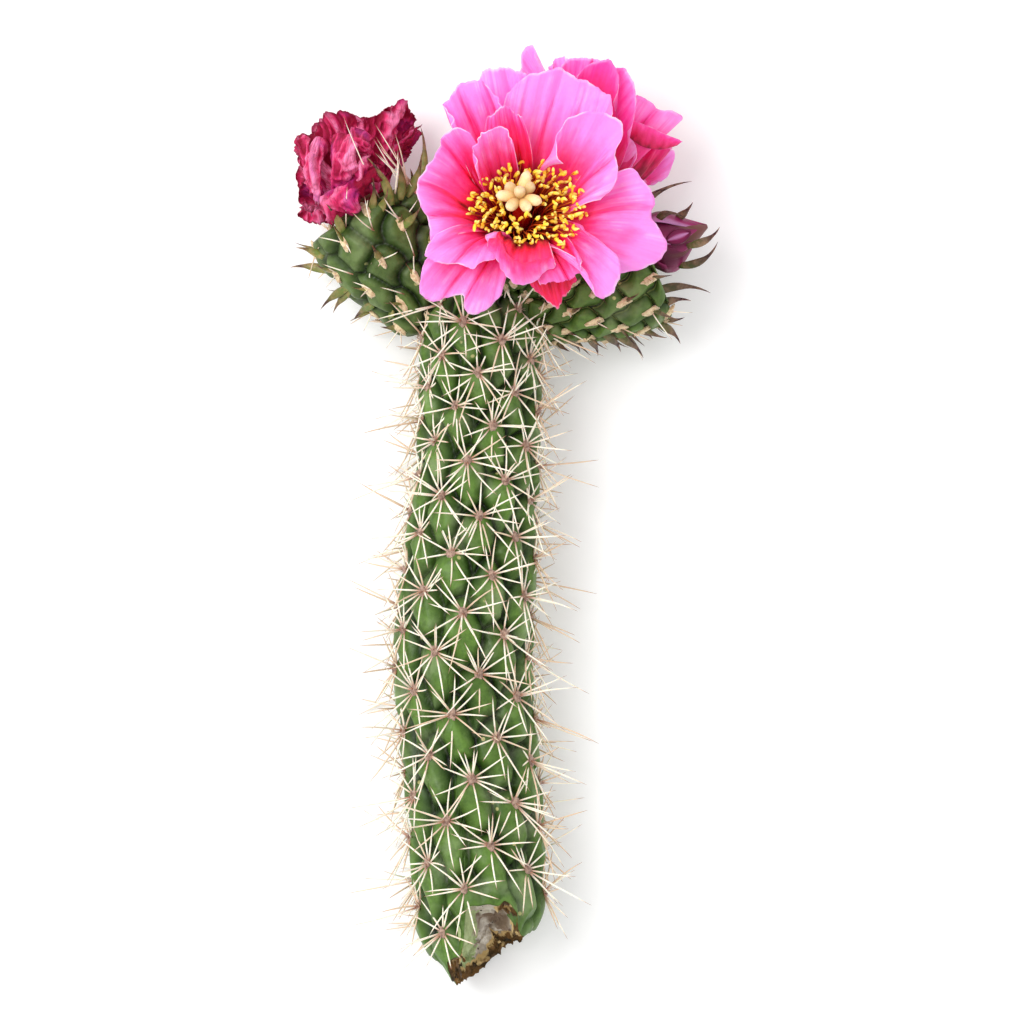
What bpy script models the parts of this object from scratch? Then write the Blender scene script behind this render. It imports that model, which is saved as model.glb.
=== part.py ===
"""Cut flowering stem of a tree cholla, as picked, lying on a flat surface.

The stem lies along Y with its cut end towards -Y. Four seed vessels crowd its tip: one bears
an open flower that faces up, one a flower that faces sideways, one a wilted flower and one a
closed bud. Lengths are in metres, +Z is up, and the surface that the stem lies on is z = 0.
"""

import math
from dataclasses import dataclass

import bmesh
import bpy
import numpy as np

MM = 0.001
FLOOR_Z = 0.0
TOUCH_GAP = 0.3 * MM  # between pieces that touch

# Stem axis: a shallow bow in X, and a slight climb from the cut end to the tip.
STEM_X = -6.0 * MM
STEM_BOW = 4.3 * MM
STEM_BOW_Y = -35.0 * MM
STEM_BOW_REACH = 38.0 * MM
STEM_CUT_Y = -117.0 * MM
STEM_CUT_Z = 16.3 * MM
STEM_TIP_Y = 60.0 * MM
STEM_TIP_Z = 18.2 * MM
STEM_DOME_Y = 43.0 * MM  # where the rounded tip begins
STEM_RADII = [  # (y, radius over the tubercles), from the cut end to the tip
    (-125 * MM, 15.6 * MM),
    (-96 * MM, 16.8 * MM),
    (-45 * MM, 17.6 * MM),
    (-28 * MM, 17.6 * MM),
    (17 * MM, 15.6 * MM),
    (60 * MM, 15.6 * MM),
]
STEM_GROOVE = 3.2 * MM
STEM_FULL_GROOVE = 8.0 * MM  # a stem thinner than this has shallower grooves

# The torn cut: a slanted wavy face that looks up and to the right, dished in the pith.
CUT_POINT = (-2.0 * MM, -101.0 * MM, 18.0 * MM)
CUT_NORMAL = (0.52, -0.77, 0.37)
CUT_WAVE = 1.1 * MM
CUT_DISH = 2.6 * MM
CUT_DISH_RADIUS = 11.0 * MM
CUT_HALF = 30.0 * MM  # half the width of the block that is cut away
CUT_DEPTH = 60.0 * MM
CUT_STEPS = 16

# Spines: each areole bears two that lie low and one that stands out.
SPINE_STAR = 2
SPINE_LENGTH = 11.5 * MM
SPINE_RADIUS = 0.42 * MM
SPINE_SUNK = 1.3 * MM
SPINE_FLOOR = 0.35 * MM  # how near the surface a tip may come
SPINE_LOW = 0.42  # outward lean of a low spine, and of one that stands out
SPINE_HIGH = 1.6
SPINE_CLEAR = 2.0 * MM  # from petals and scales
SPINE_CLEAR_VESSEL = 1.4 * MM
SPINE_CLEAR_CUT = 2.5 * MM
SPINE_SEED = 7

SCALE_WIDTH = 2.6 * MM
SCALE_SUNK = 1.3 * MM
SCALE_CLEAR = 2.4 * MM
SCALE_CLEAR_VESSEL = 1.8 * MM
SCALE_SEED = 11
LEAF_WIDTH = 3.0 * MM
LEAF_BULGE = 1.2 * MM


@dataclass
class Lattice:
    """Areoles on two families of spirals, m and n in number, as on the living plant.

    Areole k stands at height k and turns by a fixed angle from the one before it. A point of the
    lattice is (s, t), with k = m s + n t, and areoles are where s and t are whole numbers.
    """

    m: int
    n: int
    turn_m: float  # degrees from an areole to its neighbour m places on
    turn_n: float
    half_turn: float  # half the width of a tubercle, in degrees
    reach_up: float  # how far a tubercle goes above its crown, counted in areoles
    reach_down: float
    crown: float  # how far the crown lies below the areole, counted in areoles

    def turn(self, s, t):
        return self.turn_m * s + self.turn_n * t

    def height(self, s, t):
        """Under 0 in the grooves to 1 on a crown: the highest of the domes that overlap here."""
        best = np.full(np.shape(s), -0.2)
        for i in range(-1, 3):
            for j in range(-1, 3):
                ds = s - np.floor(s) - i
                dt = t - np.floor(t) - j
                across = self.turn(ds, dt) / self.half_turn
                along = self.m * ds + self.n * dt + self.crown
                along = np.where(along > 0, along / self.reach_up, along / self.reach_down)
                best = np.maximum(best, 1 - across**2 - along**2)
        return best

    def areole(self, k):
        """The whole (s, t) of areole k: both lattices here solve m s + n t = k this way."""
        return np.array(-3.0 * k), np.array(2.0 * k)


STEM_LATTICE = Lattice(7, 11, 23.5, -14.5, 21.0, 4.6, 9.6, 1.6)
STEM_FINE = 3  # mesh steps in each cell of the lattice
VESSEL_LATTICE = Lattice(5, 8, -32.5, 20.0, 18.5, 4.6, 8.0, 1.2)

# Stem areoles: areole 0 lies a little right of the top line, and they crowd towards the tip.
AREOLE_Y = -39.0 * MM
AREOLE_RISE = 1.409 * MM
AREOLE_CROWDING = 0.00204 * MM
AREOLE_TURN = 13.6
AREOLE_DRIFT_BELOW = 0.24  # degrees that the spirals drift for each areole, on either side
AREOLE_DRIFT_ABOVE = -0.08
STEM_FIRST = -57.0
STEM_LAST = 79.4


@dataclass
class Vessel:
    """A seed vessel, shaped like a top: a narrow base, a wide rim and a dished end."""

    name: str
    base: tuple
    rim: tuple
    radius: float
    phase: float
    fine: int  # mesh steps in each cell of its lattice
    scales: int  # leafy scales round its upper part
    scale_length: float
    leaves: tuple  # tips of the longer scales round its rim

    @property
    def axis(self):
        return unit(np.subtract(self.rim, self.base))

    @property
    def length(self):
        return float(np.linalg.norm(np.subtract(self.rim, self.base)))


VESSEL_LAST = 52.0
VESSEL_GROOVE = 2.3 * MM
VESSEL_PROFILE = [  # (share of the way along the surface, share of length, share of radius)
    (0.00, 0.00, 0.00),
    (0.07, 0.02, 0.36),
    (0.30, 0.30, 0.72),
    (0.55, 0.66, 0.97),
    (0.72, 0.92, 1.00),
    (0.80, 1.00, 0.90),
    (0.88, 0.97, 0.62),
    (0.94, 0.93, 0.34),
    (1.00, 0.92, 0.00),
]

LEFT = Vessel(
    "vessel_left", (-17 * MM, 48 * MM, 16 * MM), (-35 * MM, 77 * MM, 16.2 * MM),
    16.8 * MM, 10, 3, 11, 9.5 * MM,
    (
        (-20.7 * MM, 97 * MM, 22 * MM), (-20.5 * MM, 91 * MM, 31 * MM),
        (-26.5 * MM, 92 * MM, 36 * MM), (-44 * MM, 77 * MM, 37 * MM),
        (-52.5 * MM, 67.5 * MM, 24 * MM), (-53.8 * MM, 63 * MM, 13 * MM),
    ),
)  # fmt: skip
RIGHT = Vessel(
    "vessel_right", (3 * MM, 49.5 * MM, 15.2 * MM), (36.5 * MM, 63.5 * MM, 14.6 * MM),
    15.2 * MM, 40, 3, 12, 10 * MM,
    (
        (40.5 * MM, 82.5 * MM, 19 * MM), (46.8 * MM, 84 * MM, 14 * MM),
        (46.6 * MM, 78.5 * MM, 25 * MM), (53.6 * MM, 72.5 * MM, 26 * MM),
        (53.8 * MM, 69 * MM, 7 * MM), (51.5 * MM, 56 * MM, 13 * MM), (46.5 * MM, 54 * MM, 23 * MM),
    ),
)  # fmt: skip
MIDDLE = Vessel(
    "vessel_middle", (5.7 * MM, 58 * MM, 15.5 * MM), (4.5 * MM, 71 * MM, 36 * MM),
    10.8 * MM, 0, 2, 5, 6 * MM, (),
)  # fmt: skip
BACK = Vessel(
    "vessel_back", (0 * MM, 54 * MM, 12 * MM), (21.5 * MM, 82 * MM, 15.5 * MM),
    9.4 * MM, 25, 2, 4, 6 * MM, (),
)  # fmt: skip
VESSELS = (LEFT, RIGHT, MIDDLE, BACK)

# Petals share one outline: a narrow foot, a widest place and a broad end with worn corners.
PETAL_THICKNESS = 0.75 * MM
PETAL_FOOT = 0.24  # share of its full width
PETAL_WIDEST = 0.62  # share of the way to its tip
PETAL_TAPER = 0.45
PETAL_CORNER = 0.16
PETAL_SPREAD = 0.35  # share of its reach at which it has done climbing
PETAL_SUNK = 1.2 * MM


@dataclass
class Petal:
    """A petal from the flower's cup to its tip, which bends over on the way."""

    tip: tuple
    width: float
    lift: float  # how far it first climbs along the flower's axis
    cup: float  # how far its edges rise above its middle
    ruffle: float
    seed: int
    level: float = 0.0  # how far it is turned so that its inner face looks up


@dataclass
class Flower:
    """A cup on the end of a vessel, and the petals that spread from its edge."""

    name: str
    vessel: Vessel
    radius: float
    height: float
    petals: list
    steps: int  # mesh steps along and across a petal
    crumple: float = 0.0

    @property
    def centre(self):
        """The middle of the cup's mouth."""
        return np.asarray(self.vessel.rim) + self.height * self.vessel.axis

    @property
    def floor(self):
        """Height of the cup's foot above the vessel's rim. The vessel's end is dished."""
        return -0.06 * self.vessel.length


OPEN = Flower(
    "open_flower", MIDDLE, 7.8 * MM, 3.6 * MM,
    [
        Petal((16.8 * MM, 109.5 * MM, 40 * MM), 27 * MM, 12 * MM, 2.0 * MM, 1.2 * MM, 1),
        Petal((-2 * MM, 109.6 * MM, 37 * MM), 21 * MM, 10 * MM, 1.5 * MM, 1.2 * MM, 2),
        Petal((-11.3 * MM, 102 * MM, 42 * MM), 19 * MM, 12 * MM, 2.0 * MM, 1.6 * MM, 3),
        Petal((-5 * MM, 94 * MM, 51 * MM), 12 * MM, 10 * MM, 1.5 * MM, 1.0 * MM, 4),
        Petal((-21 * MM, 82 * MM, 50 * MM), 25 * MM, 11 * MM, 2.0 * MM, 1.6 * MM, 5),
        Petal((-19 * MM, 65 * MM, 54 * MM), 17 * MM, 13 * MM, 1.5 * MM, 1.8 * MM, 6),
        Petal((-10.5 * MM, 51.8 * MM, 50 * MM), 22 * MM, 8 * MM, 0.5 * MM, 0.8 * MM, 7),
        Petal((2.5 * MM, 58.5 * MM, 58 * MM), 17 * MM, 13 * MM, 1.5 * MM, 1.5 * MM, 8),
        Petal((12.6 * MM, 53.5 * MM, 49 * MM), 12 * MM, 9 * MM, 1.0 * MM, 0.8 * MM, 9),
        Petal((25 * MM, 55.5 * MM, 53 * MM), 16 * MM, 12 * MM, -1.5 * MM, 1.0 * MM, 10),
        Petal((39.8 * MM, 72 * MM, 47 * MM), 29 * MM, 9 * MM, 1.5 * MM, 0.8 * MM, 11),
        Petal((27.5 * MM, 95 * MM, 46 * MM), 24 * MM, 14 * MM, 2.5 * MM, 1.2 * MM, 12),
    ],
    5,
)  # fmt: skip
SIDE = Flower(
    "side_flower", BACK, 6.2 * MM, 2.4 * MM,
    [
        Petal((5.6 * MM, 118 * MM, 21 * MM), 12 * MM, 3 * MM, 0.8 * MM, 0.4 * MM, 21, 0.8),
        Petal((13.5 * MM, 115 * MM, 26 * MM), 14 * MM, 6 * MM, 1.0 * MM, 0.8 * MM, 22, 0.8),
        Petal((23.5 * MM, 115 * MM, 30 * MM), 20 * MM, 10 * MM, 1.5 * MM, 0.8 * MM, 23, 0.5),
        Petal((31.5 * MM, 107.5 * MM, 34.5 * MM), 20 * MM, 14 * MM, 3.0 * MM, 0.6 * MM, 24),
        Petal((45 * MM, 99.5 * MM, 23 * MM), 14 * MM, 10 * MM, 1.0 * MM, 0.6 * MM, 25),
        Petal((45.4 * MM, 94 * MM, 17 * MM), 13 * MM, 9 * MM, 1.0 * MM, 0.6 * MM, 26, 0.5),
        Petal((41.5 * MM, 85 * MM, 15 * MM), 17 * MM, 7 * MM, 1.0 * MM, 0.6 * MM, 27, 0.8),
        Petal((26 * MM, 109 * MM, 8 * MM), 16 * MM, 7 * MM, 1.5 * MM, 0.8 * MM, 28),
    ],
    4,
)  # fmt: skip
WILTED = Flower(
    "wilted_flower", LEFT, 8.5 * MM, 2.5 * MM,
    [
        Petal((-51 * MM, 88 * MM, 24 * MM), 17 * MM, 12 * MM, 3.0 * MM, 1.4 * MM, 31),
        Petal((-47 * MM, 99.5 * MM, 17 * MM), 16 * MM, 9 * MM, 3.0 * MM, 1.4 * MM, 32),
        Petal((-40 * MM, 101 * MM, 28 * MM), 17 * MM, 9 * MM, 3.0 * MM, 1.4 * MM, 33),
        Petal((-47.5 * MM, 77 * MM, 28 * MM), 12 * MM, 14 * MM, 2.0 * MM, 1.4 * MM, 34),
        Petal((-33 * MM, 92 * MM, 35 * MM), 17 * MM, 13 * MM, 3.0 * MM, 1.4 * MM, 35),
        Petal((-25.5 * MM, 103.5 * MM, 21 * MM), 17 * MM, 6 * MM, 3.0 * MM, 1.4 * MM, 36),
        Petal((-23 * MM, 97 * MM, 13 * MM), 13 * MM, 5 * MM, 2.0 * MM, 1.4 * MM, 37),
        Petal((-38 * MM, 99 * MM, 7 * MM), 15 * MM, 7 * MM, 2.0 * MM, 1.4 * MM, 38),
    ],
    4, 1.3 * MM,
)  # fmt: skip
FLOWERS = (OPEN, SIDE, WILTED)
CUP_WALL = 1.5 * MM
CUP_SIDES = 12
CUP_FOOT = 0.55  # share of its radius
WILTED_HEAP = [  # (radius, height): withered petals have collapsed on each other
    (0, 0),
    (7 * MM, 1 * MM),
    (10 * MM, 7 * MM),
    (9 * MM, 13 * MM),
    (5 * MM, 18 * MM),
    (0, 19 * MM),
]

# Stamens stand in a bowl round the style, each a golden angle on from the last.
GOLDEN_ANGLE = 137.508
FILAMENT_RADIUS = 0.38 * MM
ANTHER_LENGTH = 2.0 * MM
ANTHER_RADIUS = 0.8 * MM
STAMEN_RING = 1.6 * MM  # height of the ring that bears them
STAMEN_CLEAR = 1.4 * MM
STAMEN_WOBBLE = 0.9 * MM


@dataclass
class Bowl:
    """The bowl that the anthers fill, from the style to its edge."""

    name: str
    flower: Flower
    count: int
    near: float
    far: float
    near_height: float
    far_height: float
    hole: float  # radius left free for the style


OPEN_BOWL = Bowl("open_stamens", OPEN, 46, 4.5 * MM, 16 * MM, 15.1 * MM, 12.4 * MM, 3 * MM)
SIDE_BOWL = Bowl("side_stamens", SIDE, 9, 2.5 * MM, 5.5 * MM, 12.4 * MM, 11.4 * MM, 0)

# Stigma: a ring of plump lobes and one in its middle, on a red style.
STYLE_LENGTH = 14.5 * MM
STYLE_RADIUS = 2.3 * MM
STIGMA_LOBES = 6
LOBE_LENGTH = 5.4 * MM
LOBE_RADIUS = 1.75 * MM
LOBE_LEAN = 0.75

BUD_FOOT = (35.3 * MM, 66 * MM, 15.5 * MM)
BUD_TIP = (50.6 * MM, 72.6 * MM, 18 * MM)
BUD_RADIUS = 8.6 * MM
BUD_FOLDS = 5
BUD_TWIST = 0.22  # turns that a fold makes on its way to the tip
BUD_PROFILE = [  # (share of height, share of radius)
    (0.00, 0.66),
    (0.15, 0.95),
    (0.32, 1.00),
    (0.55, 0.80),
    (0.78, 0.42),
    (1.00, 0.06),
]

STEM_GREEN = (0.13, 0.24, 0.07)
VESSEL_GREEN = (0.16, 0.26, 0.09)
OPEN_PINK = (0.85, 0.12, 0.45)
SIDE_PINK = (0.80, 0.12, 0.40)
WILTED_RED = (0.30, 0.03, 0.10)
BUD_PURPLE = (0.16, 0.03, 0.08)
ANTHER_YELLOW = (0.85, 0.55, 0.06)
STIGMA_CREAM = (0.90, 0.75, 0.40)
SKIN_ROUGHNESS = 0.5
PETAL_ROUGHNESS = 0.6


# Helpers


def unit(v):
    v = np.asarray(v, float)
    return v / np.linalg.norm(v)


def across_axis(axis):
    """Two directions at right angles to an axis, and to each other."""
    helper = (0, 0, 1) if abs(axis[2]) < 0.9 else (1, 0, 0)
    first = unit(np.cross(axis, helper))
    return first, np.cross(axis, first)


def ring_of(axis, count, first=0.0):
    """Unit spokes evenly round an axis."""
    u, v = across_axis(axis)
    angles = first + np.arange(count) * 2 * math.pi / count
    return np.cos(angles)[:, None] * u + np.sin(angles)[:, None] * v


def through(knots, x):
    """A smooth curve through (x, value, ...) knots, read at x. It holds its end values."""
    table = np.asarray(knots, float)
    at, values = table[:, 0], table[:, 1:]
    slopes = np.gradient(values, at, axis=0)
    x = np.clip(np.asarray(x, float), at[0], at[-1])
    i = np.clip(np.searchsorted(at, x) - 1, 0, len(at) - 2)
    span = at[i + 1] - at[i]
    u = ((x - at[i]) / span)[..., None]
    span = span[..., None]
    h = 3 * u**2 - 2 * u**3
    curve = (1 - h) * values[i] + h * values[i + 1]
    curve += span * slopes[i] * (u - 2 * u**2 + u**3)
    curve += span * slopes[i + 1] * (u**3 - u**2)
    return np.moveaxis(curve, -1, 0)


def new_object(name, points, faces):
    """A mesh object whose doubles are merged and whose faces point outwards."""
    mesh = bpy.data.meshes.new(name)
    mesh.from_pydata([tuple(p) for p in points], [], [tuple(f) for f in faces])
    shape = bmesh.new()
    shape.from_mesh(mesh)
    bmesh.ops.remove_doubles(shape, verts=shape.verts, dist=1e-6)
    bmesh.ops.dissolve_degenerate(shape, dist=1e-7, edges=shape.edges)
    bmesh.ops.triangulate(shape, faces=shape.faces)
    bmesh.ops.recalc_face_normals(shape, faces=shape.faces)
    if shape.calc_volume(signed=True) < 0:
        bmesh.ops.reverse_faces(shape, faces=shape.faces)
    shape.to_mesh(mesh)
    shape.free()
    obj = bpy.data.objects.new(name, mesh)
    bpy.context.scene.collection.objects.link(obj)
    return obj


def lathe(name, origin, axis, profile, sides):
    """A closed turned body. The profile is (radius, height) and starts and ends on the axis."""
    ring = ring_of(axis, sides)
    points, starts = [], []
    for radius, height in profile:
        starts.append((len(points), radius > 0))
        centre = np.asarray(origin) + height * axis
        points += list(centre + radius * ring) if radius > 0 else [centre]
    faces = []
    for (low, low_wide), (high, high_wide) in zip(starts, starts[1:]):
        for i in range(sides):
            j = (i + 1) % sides
            if low_wide:
                faces.append((low + i, low + j, high + j if high_wide else high))
            if high_wide:
                faces.append((low + i if low_wide else low, high + j, high + i))
    return new_object(name, points, faces)


def lattice_shell(name, lattice, first, last, fine, surface):
    """A closed shell whose mesh follows the lattice from areole `first` to areole `last`.

    surface(s, t) gives the points. Beyond either end it gives the pole, where the mesh closes.
    """
    around, wrap = lattice.n * fine, lattice.m * fine
    low = math.floor((first - lattice.m * lattice.n) * fine / lattice.n) - 1
    high = math.ceil(last * fine / lattice.n) + 1
    rows = high - low + 1
    i, j = np.meshgrid(np.arange(around), np.arange(low, high + 1), indexing="ij")
    points = surface(i / fine, j / fine).reshape(-1, 3)

    def index(column, row):
        if column >= around:
            column, row = column - around, row + wrap
        return column * rows + min(row, high) - low

    faces = []
    for column in range(around):
        for row in range(low, high):
            a, b = index(column, row), index(column + 1, row)
            c, d = index(column + 1, row + 1), index(column, row + 1)
            faces += [(a, b, d), (b, c, d)]
    return new_object(name, points, [f for f in faces if len(set(f)) == 3])


def blade(name, surface, steps, thickness):
    """A closed blade of even thickness round surface(u, v), split alike on both faces."""
    u, v = np.meshgrid(np.linspace(0, 1, steps + 1), np.linspace(-1, 1, steps + 1), indexing="ij")
    nudge = 1e-3
    along = surface(u + nudge, v) - surface(u - nudge, v)
    across = surface(u, v + nudge) - surface(u, v - nudge)
    normal = np.cross(along, across)
    normal /= np.linalg.norm(normal, axis=-1, keepdims=True)
    middle = surface(u, v)
    points = [(middle + sign * 0.5 * thickness * normal).reshape(-1, 3) for sign in (1, -1)]
    count = (steps + 1) ** 2
    grid = np.arange(count).reshape(steps + 1, steps + 1)
    faces = []
    for i in range(steps):
        for j in range(steps):
            a, b, c, d = grid[i, j], grid[i + 1, j], grid[i + 1, j + 1], grid[i, j + 1]
            for tri in ((a, b, c), (a, c, d)):
                faces += [tri, tuple(q + count for q in reversed(tri))]
    for a, b in edge_pairs(grid):
        faces += [(a, b, b + count), (a, b + count, a + count)]
    return new_object(name, np.concatenate(points), faces)


def edge_pairs(grid):
    """Pairs of neighbours along the outer edge of a grid, once round."""
    rim = [*grid[0, :], *grid[1:, -1], *grid[-1, -2::-1], *grid[-2:0:-1, 0]]
    return zip(rim, rim[1:] + rim[:1])


def bake(obj):
    """Applies the object's modifiers."""
    graph = bpy.context.evaluated_depsgraph_get()
    mesh = bpy.data.meshes.new_from_object(obj.evaluated_get(graph))
    obj.modifiers.clear()
    obj.data = mesh


def boolean(body, others, operation):
    """Joins the others to the body, or cuts them from it, and removes them."""
    group = bpy.data.collections.new("group")
    for other in others:
        group.objects.link(other)
    bpy.context.scene.collection.children.link(group)
    modifier = body.modifiers.new("boolean", "BOOLEAN")
    modifier.operation = operation
    modifier.operand_type = "COLLECTION"
    modifier.collection = group
    modifier.solver = "MANIFOLD"
    bake(body)
    for other in others:
        bpy.data.objects.remove(other)
    bpy.data.collections.remove(group)


def lighten(obj, share):
    """Keeps this share of the triangles: the slivers that the joins have left go first."""
    modifier = obj.modifiers.new("lighten", "DECIMATE")
    modifier.ratio = share
    bake(obj)


def keep_largest(obj):
    """Drops any loose scrap that a cut has left."""
    shape = bmesh.new()
    shape.from_mesh(obj.data)
    left, islands = set(shape.verts), []
    while left:
        island, edge = set(), [next(iter(left))]
        while edge:
            vert = edge.pop()
            if vert in island:
                continue
            island.add(vert)
            edge += [e.other_vert(vert) for e in vert.link_edges]
        islands.append(island)
        left -= island
    biggest = max(islands, key=len)
    scraps = [v for island in islands if island is not biggest for v in island]
    bmesh.ops.delete(shape, geom=scraps, context="VERTS")
    shape.to_mesh(obj.data)
    shape.free()


def paint(obj, colour, roughness):
    """Gives the object its own material."""
    material = bpy.data.materials.new(obj.name)
    material.use_nodes = True
    shader = material.node_tree.nodes["Principled BSDF"]
    shader.inputs["Base Color"].default_value = (*colour, 1)
    shader.inputs["Roughness"].default_value = roughness
    obj.data.materials.clear()
    obj.data.materials.append(material)


def floor_block():
    """The block under the floor, which cuts the small flats that the part rests on."""
    half, depth = 0.3, 0.05
    corners = [
        (x, y, z) for x in (-half, half) for y in (-half, half) for z in (FLOOR_Z - depth, FLOOR_Z)
    ]
    faces = [(0, 1, 3, 2), (4, 6, 7, 5), (0, 4, 5, 1), (2, 3, 7, 6), (0, 2, 6, 4), (1, 5, 7, 3)]
    return new_object("floor", corners, faces)


def above_floor(root, direction, length, floor):
    """The direction, raised if needed so that the tip stays above the floor."""
    lowest = (floor - root[2]) / length
    if direction[2] >= lowest:
        return direction
    flat = np.array([direction[0], direction[1], 0.0])
    if np.linalg.norm(flat) < 0.15:
        flat[0] = 0.15 if root[0] > STEM_X else -0.15
    lowest = min(max(lowest, -1), 0.9)
    return np.array([*(unit(flat)[:2] * math.sqrt(1 - lowest**2)), lowest])


def distance_to_vessel(points, vessel):
    """Gap from points to a vessel, taken as a cone with round ends."""
    base = np.asarray(vessel.base)
    share = np.clip((points - base) @ vessel.axis / vessel.length, 0, 1)
    near = base + share[:, None] * vessel.axis * vessel.length
    radius = vessel.radius * np.interp(share, [0, 0.3, 0.6, 1], [0.35, 0.72, 1, 1])
    return (np.linalg.norm(points - near, axis=1) - radius).min()


def distance_to_points(points, taken):
    """The smallest gap between two sets of points."""
    return np.linalg.norm(points[:, None] - taken[None], axis=-1).min()


# Petals and their cups


def petal_points(flower, petal, u, v, swell=0.0):
    """Middle surface of a petal: u runs from the cup (0) to the tip (1), v across it (-1 to 1).

    Its middle line is a curve with one bend, which first climbs along the flower's axis and then
    spreads to the tip. Its edges rise and wave, more so towards the tip.
    """
    axis, centre = flower.vessel.axis, flower.centre
    reach = np.subtract(petal.tip, centre)
    spoke = reach - (reach @ axis) * axis
    spread = np.linalg.norm(spoke)
    spoke = spoke / spread
    side = np.cross(axis, spoke)
    root = centre + (flower.radius - 0.5 * CUP_WALL) * spoke - PETAL_SUNK * axis
    bend = root + petal.lift * axis + PETAL_SPREAD * max(spread - flower.radius, 0) * spoke
    tip = np.asarray(petal.tip) + swell * unit(reach)

    notch = 0.02 * np.sin(8 * v + petal.seed) + 0.012 * np.sin(19 * v + 2 * petal.seed)
    u = u * (1 - PETAL_CORNER * v**4 + notch)
    w, u1, v1 = (1 - u)[..., None], u[..., None], v[..., None]
    line = w**2 * root + 2 * u1 * w * bend + u1**2 * tip
    slope = 2 * w * (bend - root) + 2 * u1 * (tip - bend)
    slope /= np.linalg.norm(slope, axis=-1, keepdims=True)
    if petal.level:
        flat = np.cross((0, 0, 1), slope)
        flat /= np.linalg.norm(flat, axis=-1, keepdims=True)
        turned = petal.level * np.clip(3 * u1, 0, 1)
        side = side * (1 - turned) + flat * turned
        side /= np.linalg.norm(side, axis=-1, keepdims=True)
    face = np.cross(slope, side)

    grown = np.clip(u / PETAL_WIDEST, 0, 1)
    full = PETAL_FOOT + (1 - PETAL_FOOT) * grown * grown * (3 - 2 * grown)
    taper = 1 - PETAL_TAPER * np.clip((u - PETAL_WIDEST) / (1 - PETAL_WIDEST), 0, 1) ** 2
    half = 0.5 * petal.width * full * taper + swell
    wave = np.sin(5.2 * v + 1.7 * petal.seed) * u**2
    wave += 0.8 * np.abs(v) * np.sin(9 * u + 4 * v + petal.seed) * u
    crease = np.sin(8.5 * u + petal.seed) * np.cos(6 * v + 2 * petal.seed) * np.clip(3 * u, 0, 1)
    rise = petal.cup * v**2 * np.clip(2 * u, 0, 1) + petal.ruffle * wave + flower.crumple * crease
    return line + half[..., None] * v1 * side + rise[..., None] * face


def petal_samples(flower):
    """Points spread over all the petals of a flower."""
    u, v = np.meshgrid(np.linspace(0.05, 1, 12), np.linspace(-1, 1, 11), indexing="ij")
    return np.concatenate([petal_points(flower, p, u, v).reshape(-1, 3) for p in flower.petals])


def flower_cup(flower, swell=0.0):
    """The bowl that bears the petals. It sits in the dished end of the vessel."""
    radius, height, floor = flower.radius, flower.height, flower.floor
    profile = [
        (0, floor - swell),
        (CUP_FOOT * radius, floor - swell),
        (0.9 * radius + swell, 0.35 * height),
        (radius + swell, height + swell),
        (radius - CUP_WALL, height + swell),
        (CUP_FOOT * radius, floor + CUP_WALL + 0.8 * MM),
        (0, floor + CUP_WALL + 0.4 * MM),
    ]
    return lathe("cup", flower.vessel.rim, flower.vessel.axis, profile, CUP_SIDES)


def flower_body(flower, swell=0.0):
    """The cup and its petals as one body."""
    body = flower_cup(flower, swell)
    blades = [
        blade(
            "petal",
            lambda u, v, p=petal: petal_points(flower, p, u, v, swell),
            flower.steps,
            PETAL_THICKNESS + 2 * swell,
        )
        for petal in flower.petals
    ]
    if flower.crumple:
        blades.append(lathe("heap", flower.vessel.rim, flower.vessel.axis, WILTED_HEAP, 9))
    boolean(body, blades, "UNION")
    body.name = body.data.name = flower.name
    return body


def make_flower(flower, plan, built, colour):
    """A flower, cut back where it would touch a vessel, its scales or a flower built before it."""
    body = flower_body(flower)
    tools = [vessel_shell(v, TOUCH_GAP) for v in VESSELS]
    tools += [s.solid(TOUCH_GAP) for v in VESSELS for s in plan[v.name]]
    tools += [flower_body(other, TOUCH_GAP) for other in built]
    boolean(body, tools, "DIFFERENCE")
    keep_largest(body)
    lighten(body, 0.84)
    paint(body, colour, PETAL_ROUGHNESS)


# Seed vessels and their scales


def vessel_surface(vessel, swell=0.0):
    """The function that gives the points of a vessel's skin on its lattice."""
    u, v = across_axis(vessel.axis)

    def points(s, t):
        share = np.clip((VESSEL_LATTICE.m * s + VESSEL_LATTICE.n * t) / VESSEL_LAST, 0, 1)
        along, out = through(VESSEL_PROFILE, share)
        turn = np.radians(VESSEL_LATTICE.turn(s, t) + vessel.phase)
        skin = np.interp(share, [0, 0.12, 0.7, 0.8, 1], [0, 1, 1, 0.2, 0])
        bumps = VESSEL_GROOVE * (1 - VESSEL_LATTICE.height(s, t)) * skin
        pole = (share <= 0) | (share >= 1)
        out = np.where(pole, 0, np.maximum(out * vessel.radius - bumps + swell, 0.2 * MM))
        swollen = np.interp(share, [0, 0.1, 0.75, 0.8, 1], [-swell, 0, 0, swell, swell])
        axis = (along * vessel.length + swollen)[..., None] * vessel.axis
        ring = np.cos(turn)[..., None] * u + np.sin(turn)[..., None] * v
        return np.asarray(vessel.base) + axis + out[..., None] * ring

    return points


def vessel_shell(vessel, swell=0.0):
    surface = vessel_surface(vessel, swell)
    return lattice_shell(vessel.name, VESSEL_LATTICE, 0, VESSEL_LAST, vessel.fine, surface)


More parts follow.
